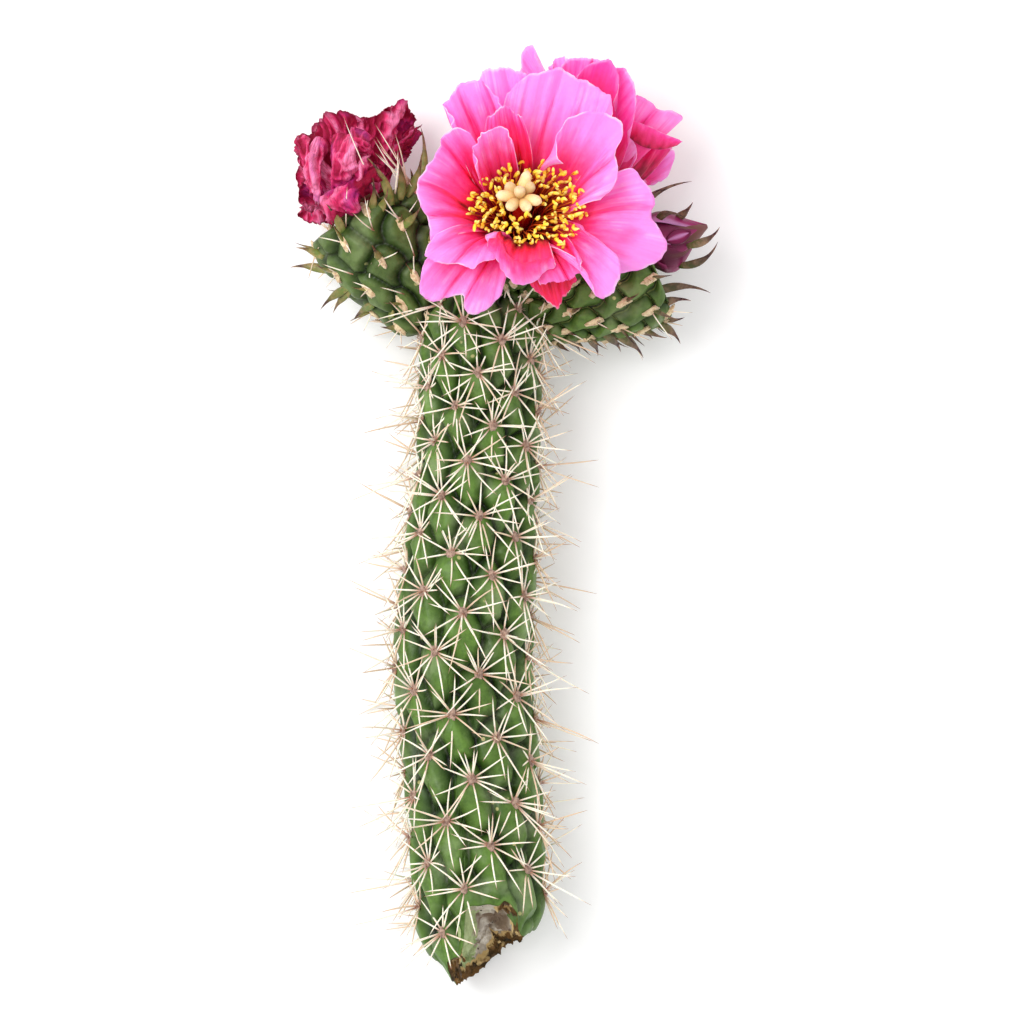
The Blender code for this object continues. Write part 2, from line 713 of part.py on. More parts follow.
@dataclass
class Scale:
    """A narrow fleshy leaf on a vessel: it leaves the skin at its root and bends on its way out."""

    root: np.ndarray
    middle: np.ndarray
    tip: np.ndarray
    width: float

    def path(self):
        legs = [(self.root, self.middle), (self.middle, self.tip)]
        return np.concatenate([a + np.linspace(0, 1, 6)[:, None] * (b - a) for a, b in legs])

    def solid(self, swell=0.0):
        """Four-sided, in two lengths."""
        axis = unit(self.tip - self.root)
        side = unit(np.cross(axis, (0.3, 0.1, 1)))
        out = np.cross(side, axis)
        points = []
        for place, share in ((self.root, 1.0), (self.middle, 0.8)):
            for a, b in ((1, 0), (0, 0.5), (-1, 0), (0, -0.5)):
                arm = 0.5 * self.width * share * (a * side + b * out)
                points.append(place + arm + 1.6 * swell * unit(arm))
        points.append(self.tip + 4 * swell * axis)
        faces = [(0, 1, 2, 3), (8, 4, 5), (8, 5, 6), (8, 6, 7), (8, 7, 4)]
        faces += [(i, (i + 1) % 4, (i + 1) % 4 + 4, i + 4) for i in range(4)]
        return new_object("scale", points, faces)


def skin_scale(vessel, k, last, length):
    """The scale at areole k of a vessel. Those near its rim stand more upright."""
    place = vessel_surface(vessel)(*VESSEL_LATTICE.areole(k))
    spoke = place - vessel.base
    spoke = unit(spoke - (spoke @ vessel.axis) * vessel.axis)
    upright = 0.9 + 1.3 * max(0, (k - last + 8) / 8)
    first = above_floor(place, unit(upright * vessel.axis + spoke), 0.5 * length, 2.0 * MM)
    middle = place + 0.5 * length * first
    bent = unit(0.8 * upright * vessel.axis + 1.2 * spoke)
    tip = middle + 0.55 * length * above_floor(middle, bent, 0.55 * length, 1.2 * MM)
    return Scale(place - SCALE_SUNK * spoke, middle, tip, SCALE_WIDTH)


def rim_leaf(vessel, tip):
    """A longer scale from the rim of a vessel to a given tip."""
    rim = np.asarray(vessel.rim)
    spoke = tip - rim
    spoke = unit(spoke - (spoke @ vessel.axis) * vessel.axis)
    root = rim + 0.93 * vessel.radius * spoke - 0.12 * vessel.length * vessel.axis
    return Scale(root, 0.5 * (root + tip) + LEAF_BULGE * spoke, tip, LEAF_WIDTH)


def plan_scales():
    """Where each vessel has its scales. One that would touch a flower or a neighbour is left out."""
    taken = np.concatenate([petal_samples(OPEN), petal_samples(SIDE)])
    plan = {}
    for vessel in VESSELS:
        rng = np.random.default_rng(SCALE_SEED + int(vessel.phase))
        last = int(0.76 * VESSEL_LAST)
        others = [v for v in VESSELS if v is not vessel]
        kept = []
        for k in range(last - vessel.scales, last):
            scale = skin_scale(vessel, k, last, vessel.scale_length * rng.uniform(0.85, 1.1))
            path = scale.path()[2:]
            apart = min(distance_to_vessel(path, o) for o in others) > SCALE_CLEAR_VESSEL
            if apart and distance_to_points(path, taken) > SCALE_CLEAR and scale.root[2] > 2 * MM:
                kept.append(scale)
        kept += [rim_leaf(vessel, np.asarray(tip)) for tip in vessel.leaves]
        plan[vessel.name] = kept
        if kept:
            taken = np.concatenate([taken, *(s.path() for s in kept)])
    return plan


def make_vessel(vessel, plan, built):
    """One seed vessel, pressed against the stem and against the vessels built before it."""
    body = vessel_shell(vessel)
    boolean(body, [s.solid() for s in plan[vessel.name]], "UNION")
    pressed = [stem_shell(TOUCH_GAP)]
    for other in built:
        pressed.append(vessel_shell(other, TOUCH_GAP))
        pressed += [rim_leaf(other, np.asarray(tip)).solid(TOUCH_GAP) for tip in other.leaves]
    boolean(body, pressed, "DIFFERENCE")
    keep_largest(body)
    lighten(body, 0.92 if vessel.leaves else 0.8)
    boolean(body, [floor_block()], "DIFFERENCE")
    paint(body, VESSEL_GREEN, SKIN_ROUGHNESS)


# The stem, its cut end and its spines


def stem_centre(y):
    """X and Z of the stem's axis at y."""
    x = STEM_X - STEM_BOW * np.exp(-(((y - STEM_BOW_Y) / STEM_BOW_REACH) ** 2))
    share = (y - STEM_CUT_Y) / (STEM_TIP_Y - STEM_CUT_Y)
    return x, STEM_CUT_Z + (STEM_TIP_Z - STEM_CUT_Z) * share


def stem_place(s, t):
    """Height y, turn in radians and smooth radius of the stem at a lattice point."""
    k = np.clip(STEM_LATTICE.m * s + STEM_LATTICE.n * t, STEM_FIRST, STEM_LAST)
    y = AREOLE_Y + AREOLE_RISE * k - AREOLE_CROWDING * k**2
    turn = AREOLE_TURN + STEM_LATTICE.turn(s, t)
    turn = turn + AREOLE_DRIFT_BELOW * np.minimum(k, 0) + AREOLE_DRIFT_ABOVE * np.maximum(k, 0)
    (radius,) = through(STEM_RADII, y)
    dome = np.clip((y - STEM_DOME_Y) / (STEM_TIP_Y - STEM_DOME_Y), 0, 1)
    radius = radius * (1 - dome**2.6) ** 0.55
    radius = np.where(k <= STEM_FIRST, 0, radius)
    return y, np.radians(turn), np.where(k >= STEM_LAST, 0, radius)


def stem_surface(s, t, swell=0.0):
    """Points of the stem's skin, tubercles included."""
    y, turn, radius = stem_place(s, t)
    shallow = np.minimum(1, radius / STEM_FULL_GROOVE)
    bumps = STEM_GROOVE * (1 - STEM_LATTICE.height(s, t)) * shallow
    out = np.where(radius > 0, radius - bumps + swell, 0)
    x, z = stem_centre(y)
    end = np.where(radius > 0, 0, swell)
    return np.stack([x + out * np.sin(turn), y + end, z + out * np.cos(turn)], -1)


def stem_shell(swell=0.0):
    return lattice_shell(
        "stem", STEM_LATTICE, STEM_FIRST, STEM_LAST, STEM_FINE, lambda s, t: stem_surface(s, t, swell)
    )


def cut_tool():
    """The block that is torn off: its near face is wavy and bulges into the pith."""
    normal = unit(CUT_NORMAL)
    right = unit(np.cross(normal, (0, 0, 1)))
    up = np.cross(right, normal)
    span = np.linspace(-CUT_HALF, CUT_HALF, CUT_STEPS + 1)
    a, b = np.meshgrid(span, span)
    rough = np.sin(a / (2.3 * MM) + 1.0) * np.cos(b / (3.1 * MM))
    rough += 0.7 * np.sin(b / (1.9 * MM) + a / (4 * MM))
    dish = np.exp(-(((a - 1 * MM) ** 2 + (b - 3 * MM) ** 2) / CUT_DISH_RADIUS**2))
    depth = CUT_WAVE * rough - CUT_DISH * dish
    near = np.asarray(CUT_POINT) + a[..., None] * right + b[..., None] * up
    near = (near + depth[..., None] * normal).reshape(-1, 3)
    count = len(near)
    grid = np.arange(count).reshape(CUT_STEPS + 1, CUT_STEPS + 1)
    faces = []
    for i in range(CUT_STEPS):
        for j in range(CUT_STEPS):
            quad = (grid[i, j], grid[i, j + 1], grid[i + 1, j + 1], grid[i + 1, j])
            faces += [quad, tuple(q + count for q in reversed(quad))]
    faces += [(p, q, q + count, p + count) for p, q in edge_pairs(grid)]
    return new_object("cut", np.concatenate([near, near + CUT_DEPTH * normal]), faces)


def needle(root, tip, radius):
    """A three-sided spine."""
    ring = root + radius * ring_of(unit(tip - root), 3)
    return new_object("needle", [*ring, tip], [(0, 1, 2), (0, 1, 3), (1, 2, 3), (2, 0, 3)])


def stem_areoles():
    """Place and outward direction of each areole on the stem."""
    for k in range(math.ceil(STEM_FIRST), math.floor(STEM_LAST) + 1):
        s, t = STEM_LATTICE.areole(k)
        _, turn, radius = stem_place(s, t)
        if radius > 6 * MM:
            yield stem_surface(s, t), unit([math.sin(turn), 0.12, math.cos(turn)])


def stem_spines(plan):
    """The needles of every areole, left out where a petal, a scale or the cut is in the way."""
    rng = np.random.default_rng(SPINE_SEED)
    cut, normal = np.asarray(CUT_POINT), unit(CUT_NORMAL)
    taken = [petal_samples(flower) for flower in FLOWERS]
    taken = np.concatenate(taken + [s.path() for v in VESSELS for s in plan[v.name]])
    made = []
    for place, out in stem_areoles():
        side = unit(np.cross((0, 1, 0), out))
        up = np.cross(out, side)
        first = rng.uniform(0, 2 * math.pi)
        needles = [(first + 2 * math.pi * n / SPINE_STAR, SPINE_LOW, 1.0) for n in range(SPINE_STAR)]
        for angle, lean, share in [*needles, (first + 1.0, SPINE_HIGH, 1.1)]:
            lean += rng.uniform(-0.12, 0.25)
            length = SPINE_LENGTH * share * rng.uniform(0.85, 1.1)
            flat = math.cos(angle) * side + math.sin(angle) * up
            direction = above_floor(place, unit(flat + lean * out), length, SPINE_FLOOR)
            root, tip = place - SPINE_SUNK * out, place + length * direction
            path = place + np.linspace(0.1, 1, 8)[:, None] * (tip - place)
            crowded = min(distance_to_vessel(path, v) for v in VESSELS) < SPINE_CLEAR_VESSEL
            crowded |= distance_to_points(path, taken) < SPINE_CLEAR
            if not crowded and (place - cut) @ normal < -SPINE_CLEAR_CUT and root[2] > 1.5 * MM:
                made.append(needle(root, tip, SPINE_RADIUS))
    return made


def make_stem(plan):
    """The stem with its tubercles, its torn end, its spines and its resting flats."""
    stem = stem_shell()
    boolean(stem, [cut_tool()], "DIFFERENCE")
    boolean(stem, stem_spines(plan), "UNION")
    lighten(stem, 0.93)
    boolean(stem, [floor_block()], "DIFFERENCE")
    keep_largest(stem)
    paint(stem, STEM_GREEN, SKIN_ROUGHNESS)


# Stamens, stigma and bud


def stamen(root, tip):
    """A thin filament with a plump anther on its end, three-sided."""
    axis = unit(tip - root)
    ring = ring_of(axis, 3)
    neck, plump = tip - ANTHER_LENGTH * axis, tip - 0.5 * ANTHER_LENGTH * axis
    stations = [(root, FILAMENT_RADIUS), (neck, FILAMENT_RADIUS), (plump, ANTHER_RADIUS)]
    points = [point for centre, radius in stations for point in centre + radius * ring]
    faces = [(0, 1, 2)]
    for low in (0, 3):
        faces += [(low + i, low + (i + 1) % 3, low + (i + 1) % 3 + 3, low + i + 3) for i in range(3)]
    faces += [(6 + i, 6 + (i + 1) % 3, 9) for i in range(3)]
    return new_object("stamen", [*points, tip], faces)


def stamen_ring(bowl, origin, outer):
    """The low ring in the cup that bears the stamens, with a hole for the style if there is one."""
    axis = bowl.flower.vessel.axis
    if not bowl.hole:
        profile = [(0, 0), (outer, 0), (outer, STAMEN_RING), (0, STAMEN_RING)]
        return lathe(bowl.name, origin, axis, profile, CUP_SIDES)
    spokes = ring_of(axis, CUP_SIDES)
    loops = [(bowl.hole, 0), (outer, 0.2 * MM), (outer, STAMEN_RING), (bowl.hole, STAMEN_RING)]
    points = np.concatenate([origin + r * spokes + h * axis for r, h in loops])
    faces = []
    for a in range(4):
        b = (a + 1) % 4
        for i in range(CUP_SIDES):
            j = (i + 1) % CUP_SIDES
            faces.append([ring * CUP_SIDES + k for ring, k in ((a, i), (a, j), (b, j), (b, i))])
    return new_object(bowl.name, points, faces)


def make_stamens(bowl):
    """A ring that sits in the cup, and the stamens that fan out from it."""
    flower = bowl.flower
    axis, rim = flower.vessel.axis, np.asarray(flower.vessel.rim)
    u, v = across_axis(axis)
    outer = CUP_FOOT * flower.radius
    origin = rim + (flower.floor + CUP_WALL + 0.8 * MM + TOUCH_GAP) * axis
    body = stamen_ring(bowl, origin, outer)
    petals = petal_samples(flower)
    made = []
    for n in range(bowl.count):
        share = math.sqrt((n + 0.5) / bowl.count)
        turn = n * math.radians(GOLDEN_ANGLE)
        spoke = math.cos(turn) * u + math.sin(turn) * v
        foot = 0.5 * (outer + (bowl.hole or 0.3 * outer))
        start = origin + foot * spoke + 0.5 * STAMEN_RING * axis
        height = bowl.near_height + (bowl.far_height - bowl.near_height) * share
        height += STAMEN_WOBBLE * math.sin(2.7 * n)
        end = rim + (bowl.near + (bowl.far - bowl.near) * share) * spoke + height * axis
        path = start + np.linspace(0.15, 1, 10)[:, None] * (end - start)
        if distance_to_points(path, petals) > STAMEN_CLEAR:
            made.append(stamen(start, end))
    boolean(body, made, "UNION")
    paint(body, ANTHER_YELLOW, PETAL_ROUGHNESS)


def lobe(start, end):
    """A plump six-sided lobe of the stigma."""
    span = np.linalg.norm(end - start)
    profile = [(0, 0), (0.8 * LOBE_RADIUS, 0.2 * span), (LOBE_RADIUS, 0.65 * span), (0, span)]
    return lathe("lobe", start, unit(end - start), profile, 6)


def make_stigma():
    """The style, and the lobes on its end."""
    axis = OPEN.vessel.axis
    foot = np.asarray(OPEN.vessel.rim) + (OPEN.floor + CUP_WALL + 0.4 * MM + TOUCH_GAP) * axis
    profile = [
        (0, 0.3 * MM),
        (STYLE_RADIUS * 0.8, 0.4 * MM),
        (STYLE_RADIUS, 0.4 * STYLE_LENGTH),
        (STYLE_RADIUS * 0.6, STYLE_LENGTH),
        (0, STYLE_LENGTH + 0.5 * MM),
    ]
    body = lathe("open_stigma", foot, axis, profile, 10)
    head = foot + (STYLE_LENGTH - 1.2 * MM) * axis
    lobes = [lobe(head, head + (LOBE_LENGTH + 0.6 * MM) * axis)]
    for spoke in ring_of(axis, STIGMA_LOBES, math.pi / 12):
        start = head + 0.6 * MM * spoke
        lobes.append(lobe(start, start + LOBE_LENGTH * unit(axis + LOBE_LEAN * spoke)))
    boolean(body, lobes, "UNION")
    paint(body, STIGMA_CREAM, SKIN_ROUGHNESS)


def make_bud(plan):
    """The closed bud: tepals wrapped in a spiral round a point."""
    foot, tip = np.asarray(BUD_FOOT), np.asarray(BUD_TIP)
    axis, length = unit(tip - foot), np.linalg.norm(tip - foot)
    u, v = across_axis(axis)
    rows, around = 8, 5 * BUD_FOLDS
    angles = np.arange(around) * 2 * math.pi / around
    turn, share = np.meshgrid(angles, np.linspace(0, 1, rows, endpoint=False), indexing="ij")
    (out,) = through(BUD_PROFILE, share)
    fold = ((turn / (2 * math.pi) + BUD_TWIST * share) * BUD_FOLDS) % 1
    radius = BUD_RADIUS * out * (0.88 + 0.2 * fold)
    ring = np.cos(turn)[..., None] * u + np.sin(turn)[..., None] * v
    points = foot + radius[..., None] * ring + (share * length)[..., None] * axis
    low_pole, high_pole = around * rows, around * rows + 1
    faces = []
    for i in range(around):
        j = (i + 1) % around
        for r in range(rows - 1):
            a, b, c, d = i * rows + r, j * rows + r, j * rows + r + 1, i * rows + r + 1
            faces += [(a, b, c), (a, c, d)]
        faces.append((low_pole, j * rows, i * rows))
        faces.append((i * rows + rows - 1, j * rows + rows - 1, high_pole))
    body = new_object("bud", [*points.reshape(-1, 3), foot, tip], faces)
    tools = [vessel_shell(RIGHT, TOUCH_GAP)] + [s.solid(TOUCH_GAP) for s in plan[RIGHT.name]]
    boolean(body, [*tools, flower_body(OPEN, TOUCH_GAP), flower_body(SIDE, TOUCH_GAP)], "DIFFERENCE")
    keep_largest(body)
    paint(body, BUD_PURPLE, SKIN_ROUGHNESS)


def main():
    for obj in list(bpy.data.objects):
        bpy.data.objects.remove(obj)
    plan = plan_scales()
    make_stem(plan)
    for place, vessel in enumerate(VESSELS):
        make_vessel(vessel, plan, VESSELS[:place])
    make_flower(OPEN, plan, [], OPEN_PINK)
    make_flower(SIDE, plan, [OPEN], SIDE_PINK)
    make_flower(WILTED, plan, [OPEN], WILTED_RED)
    make_stamens(OPEN_BOWL)
    make_stamens(SIDE_BOWL)
    make_stigma()
    make_bud(plan)


main()
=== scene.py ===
"""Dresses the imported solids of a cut, flowering cholla stem.

The stem lies along Y on the surface z = 0, with its torn end towards -Y and its flowers at +Y.
Lengths are in metres. Every skin, petal, spine and scale is a surface worked out on a grid of two
parameters. Each point of it carries the vector `place`, (along, across, tone), and the finishes
read that vector where a colour follows the surface.
"""

from __future__ import annotations

import logging
import math
from collections.abc import Sequence
from dataclasses import dataclass
from enum import Enum
from functools import cache

import bpy
import numpy as np
from mathutils import Matrix
from numpy.typing import NDArray

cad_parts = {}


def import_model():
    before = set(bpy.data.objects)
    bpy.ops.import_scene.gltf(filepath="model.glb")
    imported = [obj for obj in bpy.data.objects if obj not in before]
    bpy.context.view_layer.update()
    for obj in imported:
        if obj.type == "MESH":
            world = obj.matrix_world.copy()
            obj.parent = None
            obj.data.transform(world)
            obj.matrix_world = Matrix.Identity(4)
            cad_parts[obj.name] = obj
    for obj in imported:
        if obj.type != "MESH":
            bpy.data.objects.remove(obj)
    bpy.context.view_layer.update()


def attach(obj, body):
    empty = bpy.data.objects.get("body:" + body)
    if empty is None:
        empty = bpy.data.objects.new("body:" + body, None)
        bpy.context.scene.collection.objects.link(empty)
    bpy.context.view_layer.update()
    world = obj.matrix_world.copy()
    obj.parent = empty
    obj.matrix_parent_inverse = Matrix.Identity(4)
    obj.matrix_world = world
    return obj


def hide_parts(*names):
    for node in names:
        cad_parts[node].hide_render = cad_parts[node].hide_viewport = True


Array = NDArray[np.float64]
Colour = tuple[float, float, float, float]
Point = tuple[float, float, float]
Pair = tuple[Point, Point]
Tree = bpy.types.NodeTree
Node = bpy.types.Node
Socket = bpy.types.NodeSocket

MM = 0.001
BODY = "root"
LOG = logging.getLogger("cholla")
WHITE = (1.0, 1.0, 1.0, 1.0)
UP = (0.0, 0.0, 1.0)
GOLDEN_ANGLE = math.radians(137.508)
# From the camera down to the height that it looks at
DISTANCE = 2.483


# Numbers and vectors


def mm(*values: float) -> Point:
    """A point given in millimetres, in metres."""
    return tuple(MM * value for value in values)


LOOK_AT = mm(1.75, 1.25, 17)


def seen(points: Sequence[Point]) -> Array:
    """Moves points along the camera's lines of sight.

    Args:
        points: Rows of x and y in millimetres, as the camera sees them at the height that it
            looks at, and of their own height.

    Returns:
        The points in metres, drawn in towards the line of sight in the middle.
    """
    points, middle = MM * np.asarray(points, float), np.asarray(LOOK_AT)
    share = 1 - (points[:, 2:] - middle[2]) / DISTANCE
    return np.hstack([middle[:2] + (points[:, :2] - middle[:2]) * share, points[:, 2:]])


def srgb(*screen: float) -> Colour:
    """A screen colour as the linear light that a shader takes.

    Args:
        screen: Red, green and blue, from 0 to 255.

    Returns:
        The colour, with no see-through.
    """
    shares = np.array(screen) / 255
    linear = np.where(shares <= 0.04045, shares / 12.92, ((shares + 0.055) / 1.055) ** 2.4)
    return (*(float(c) for c in linear), 1.0)


def tints(*screen: Sequence[float]) -> tuple[Colour, ...]:
    """Screen colours, each as `srgb` gives it."""
    return tuple(srgb(*colour) for colour in screen)


def unit(vectors: Array) -> Array:
    """Vectors brought to length 1, along the last axis."""
    vectors = np.asarray(vectors, float)
    return vectors / np.maximum(np.linalg.norm(vectors, axis=-1, keepdims=True), 1e-12)


def dot(a: Array, b: Array) -> Array:
    """Dot products along the last axis, which stays."""
    return (a * b).sum(-1, keepdims=True)


def smooth(x: Array, low: float = 0.0, high: float = 1.0) -> Array:
    """0 up to low and 1 from high on, with the curve 3 x squared less 2 x cubed between them."""
    x = np.clip((np.asarray(x, float) - low) / (high - low), 0, 1)
    return x * x * (3 - 2 * x)


def across_axis(axis: Array) -> tuple[Array, Array]:
    """Two unit vectors at right angles to an axis and to each other.

    Args:
        axis: A unit vector.

    Returns:
        The two, right-handed with the axis.
    """
    helper = UP if abs(axis[2]) < 0.9 else (1.0, 0.0, 0.0)
    first = unit(np.cross(axis, helper))
    return first, np.cross(axis, first)


def around(axis: Array, turn: Array) -> Array:
    """Unit vectors that point away from an axis.

    Args:
        axis: A unit vector.
        turn: Angles about it.

    Returns:
        The vectors across the axis, one times the cosine of the angle and one times its sine.
    """
    first, second = across_axis(axis)
    turn = np.asarray(turn)[..., None]
    return np.cos(turn) * first + np.sin(turn) * second


def through(knots: Sequence[Sequence[float]], x: Array) -> Array:
    """Reads a smooth curve through (x, value, ...) knots.

    Between two knots it is the cubic that has their values and the mean slopes there.

    Args:
        knots: Rows of x and one or more values, with x rising.
        x: Where the curve is read. Beyond its ends it holds its end values.

    Returns:
        One array for each value, of the shape of x.
    """
    table = np.asarray(knots, float)
    at, values = table[:, 0], table[:, 1:]
    slopes = np.gradient(values, at, axis=0)
    x = np.clip(np.asarray(x, float), at[0], at[-1])
    i = np.clip(np.searchsorted(at, x) - 1, 0, len(at) - 2)
    span = at[i + 1] - at[i]
    u = ((x - at[i]) / span)[..., None]
    span = span[..., None]
    h = 3 * u**2 - 2 * u**3
    curve = (1 - h) * values[i] + h * values[i + 1]
    curve += span * slopes[i] * (u - 2 * u**2 + u**3)
    curve += span * slopes[i + 1] * (u**3 - u**2)
    return np.moveaxis(curve, -1, 0)


def ripple(points: Array, size: float, seed: int) -> Array:
    """Smooth seeded variation of about -1 to 1.

    It is the sum of eight sine waves that run in seeded directions, each about `size` long.

    Args:
        points: Where it is read, of shape (..., 3).
        size: The usual distance from one swell to the next.
        seed: Picks the directions and phases.

    Returns:
        An array without the last axis.
    """
    rng = np.random.default_rng(seed)
    ways = unit(rng.normal(size=(8, 3))) * 2 * math.pi / (size * rng.uniform(0.7, 1.5, (8, 1)))
    return 0.25 * np.sin(points @ ways.T + rng.uniform(0, 2 * math.pi, 8)).sum(-1) * 1.4


def ridges(points: Array, size: float, seed: int) -> Array:
    """Creases as in crumpled tissue: 1 on sharp ridges, down to -1 between them."""
    return 1 - 2 * np.minimum(np.abs(ripple(points, size, seed)) * 1.6, 1)


def along_knots(knots: Array, share: Array) -> Array:
    """Points on the smooth curve through knots.

    Args:
        knots: The knots, one a row.
        share: Where on the curve, from 0 to 1 of its length.

    Returns:
        The points, with a last axis for x, y and z.
    """
    steps = np.linalg.norm(np.diff(knots, axis=0), axis=1)
    at = np.concatenate([[0], np.cumsum(steps)]) / steps.sum()
    return np.stack(through(np.column_stack([at, knots]), share), -1)


def bezier(root: Array, bend: Array, tip: Array, u: Array) -> Array:
    """The curve from root to tip that leaves and arrives towards bend, for u of 0 to 1."""
    return (1 - u) ** 2 * root + 2 * u * (1 - u) * bend + u**2 * tip


# Meshes


class Pile:
    """Closed bodies gathered into one mesh, with no point under the height `lowest`."""

    lowest: float = 0.02 * MM

    def __init__(self, name: str) -> None:
        """Starts an empty pile.

        Args:
            name: Name of the object that it will be.
        """
        self.name = name
        self.points: list[Array] = []
        self.places: list[Array] = []
        self.faces: list[Array] = []
        self.count = 0

    def _take(self, points: Array, place: Array) -> Array:
        """Takes in points.

        Args:
            points: Points of shape (..., 3).
            place: What they carry.

        Returns:
            Their numbers in the same shape.
        """
        shape = points.shape[:-1]
        self.points.append(points.reshape(-1, 3))
        self.places.append(np.broadcast_to(place, points.shape).reshape(-1, 3))
        numbers = self.count + np.arange(math.prod(shape)).reshape(shape)
        self.count += numbers.size
        return numbers

    def _face(self, *corners: Array) -> None:
        """Takes in faces, whose corners are arrays of one shape."""
        self.faces.append(np.stack([c.ravel() for c in np.broadcast_arrays(*corners)], -1))

    def tubes(self, rings: Array, place: Array) -> None:
        """Adds bodies of rings, closed at both ends round the middle of the last ring.

        Args:
            rings: Points of shape (bodies, rings, sides, 3). The sides run right-handed about the
                direction in which the rings follow each other.
            place: What the points carry, of a shape that fits the rings.
        """
        place = np.broadcast_to(place, rings.shape)
        here = self._take(rings, place)
        beside = np.roll(here, -1, axis=-1)
        self._face(here[:, :-1], beside[:, :-1], beside[:, 1:], here[:, 1:])
        for end, (first, second) in ((0, (beside, here)), (-1, (here, beside))):
            pole = self._take(rings[:, end].mean(-2), place[:, end].mean(-2))
            self._face(first[:, end], second[:, end], pole[:, None])

    def blades(self, middle: Array, thickness: Array, place: Array) -> None:
        """Adds thin closed blades round middle surfaces.

        Each face lies half the thickness from the middle surface, along the cross product of the
        directions along and across it.

        Args:
            middle: Points of shape (bodies, along, across, 3).
            thickness: Full thickness at those points.
            place: What the points carry.
        """
        along, across = np.gradient(middle, axis=1), np.gradient(middle, axis=2)
        half = 0.5 * thickness[..., None] * unit(np.cross(along, across))
        place = np.broadcast_to(place, middle.shape)
        rings = np.concatenate([(middle + half)[:, :, ::-1], middle - half], 2)
        here = self._take(rings, np.concatenate([place[:, :, ::-1], place], 2))
        beside = np.roll(here, -1, axis=-1)
        self._face(here[:, :-1], beside[:, :-1], beside[:, 1:], here[:, 1:])
        wide = middle.shape[2]
        for end, turn in ((0, -1), (-1, 1)):
            front, back = here[:, end, :wide], here[:, end, : wide - 1 : -1]
            corners = (front[:, :-1], front[:, 1:], back[:, 1:], back[:, :-1])
            self._face(*corners[::turn])

    def sweep(
        self,
        lines: Array,
        radii: Array,
        sides: int,
        tone: Array | float = 0.5,
        flat: float = 1.0,
        facing: Array | None = None,
    ) -> None:
        """Carries a ring along each line: radius times (cos, flat sin) across the line.

        Args:
            lines: Points of shape (bodies, stations, 3).
            radii: Radius at each station, of a shape that fits (bodies, stations).
            sides: Number of sides of the ring.
            tone: What each body carries as its tone.
            flat: The ring's thickness as a share of its width.
            facing: The direction of the thin side of each ring, where it matters.
        """
        bodies, stations = lines.shape[:2]
        axis = unit(np.gradient(lines, axis=1))
        mean = unit(lines[:, -1] - lines[:, 0])
        if facing is None:
            steep = np.abs(mean[:, 2:]) > 0.9
            facing = np.where(steep, (1.0, 0.0, 0.0), UP)
        wide = unit(np.cross(facing, mean))[:, None]
        wide = unit(wide - dot(wide, axis) * axis)
        thin = np.cross(axis, wide)
        angle = np.arange(sides) * 2 * math.pi / sides
        ring = np.cos(angle)[:, None] * wide[:, :, None]
        ring = ring + flat * np.sin(angle)[:, None] * thin[:, :, None]
        radii = np.broadcast_to(radii, (bodies, stations))
        place = np.zeros((bodies, stations, sides, 3))
        place[..., 0] = np.linspace(0, 1, stations)[:, None]
        place[..., 1] = np.sin(angle)
        place[..., 2] = np.reshape(np.broadcast_to(tone, bodies), (-1, 1, 1))
        self.tubes(lines[:, :, None] + radii[..., None, None] * ring, place)

    def lathe(self, origin: Array, axis: Array, profile: Sequence[Sequence[float]], sides: int) -> None:
        """Turns a profile about an axis.

        Args:
            origin: Where the height is 0.
            axis: A unit vector.
            profile: Rows of radius and height.
            sides: Number of sides of the ring.
        """
        ring = around(axis, np.arange(sides) * 2 * math.pi / sides)
        profile = np.asarray(profile, float)[:, None]
        rings = np.asarray(origin) + profile[..., 1:] * axis + profile[..., :1] * ring
        place = np.zeros(rings.shape)
        place[..., 0] = np.linspace(0, 1, len(rings))[:, None]
        place[..., 2] = 0.5
        self.tubes(rings[None], place[None])

    def build(self, finish: Finish, slot: str, *nodes: str) -> None:
        """Makes the object, at the origin and unscaled. It rides on the part's one body.

        Args:
            finish: The finish of all its faces.
            slot: Not used.
            nodes: The solids that it stands for.
        """
        mesh = bpy.data.meshes.new(self.name)
        points = np.concatenate(self.points)
        points[:, 2] = np.maximum(points[:, 2], self.lowest)
        corners = np.concatenate([f.ravel() for f in self.faces])
        sizes = np.concatenate([np.full(len(f), f.shape[1]) for f in self.faces])
        mesh.vertices.add(len(points))
        mesh.vertices.foreach_set("co", points.astype(np.float32).ravel())
        mesh.loops.add(len(corners))
        mesh.loops.foreach_set("vertex_index", corners.astype(np.int32))
        mesh.polygons.add(len(sizes))
        mesh.polygons.foreach_set("loop_start", (np.cumsum(sizes) - sizes).astype(np.int32))
        mesh.update(calc_edges=True)
        mesh.attributes.new("place", "FLOAT_VECTOR", "POINT")
        places = np.concatenate(self.places).astype(np.float32)
        mesh.attributes["place"].data.foreach_set("vector", places.ravel())
        mesh.shade_smooth()
        mesh.materials.append(finish.material())
        piece = bpy.data.objects.new(self.name, mesh)
        bpy.context.scene.collection.objects.link(piece)
        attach(piece, BODY)
        if nodes:
            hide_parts(*nodes)
        triangles = int((sizes - 2).sum())
        LOG.info("%s: %d triangles, stands for %s", self.name, triangles, ", ".join(nodes) or "none")


# Node trees


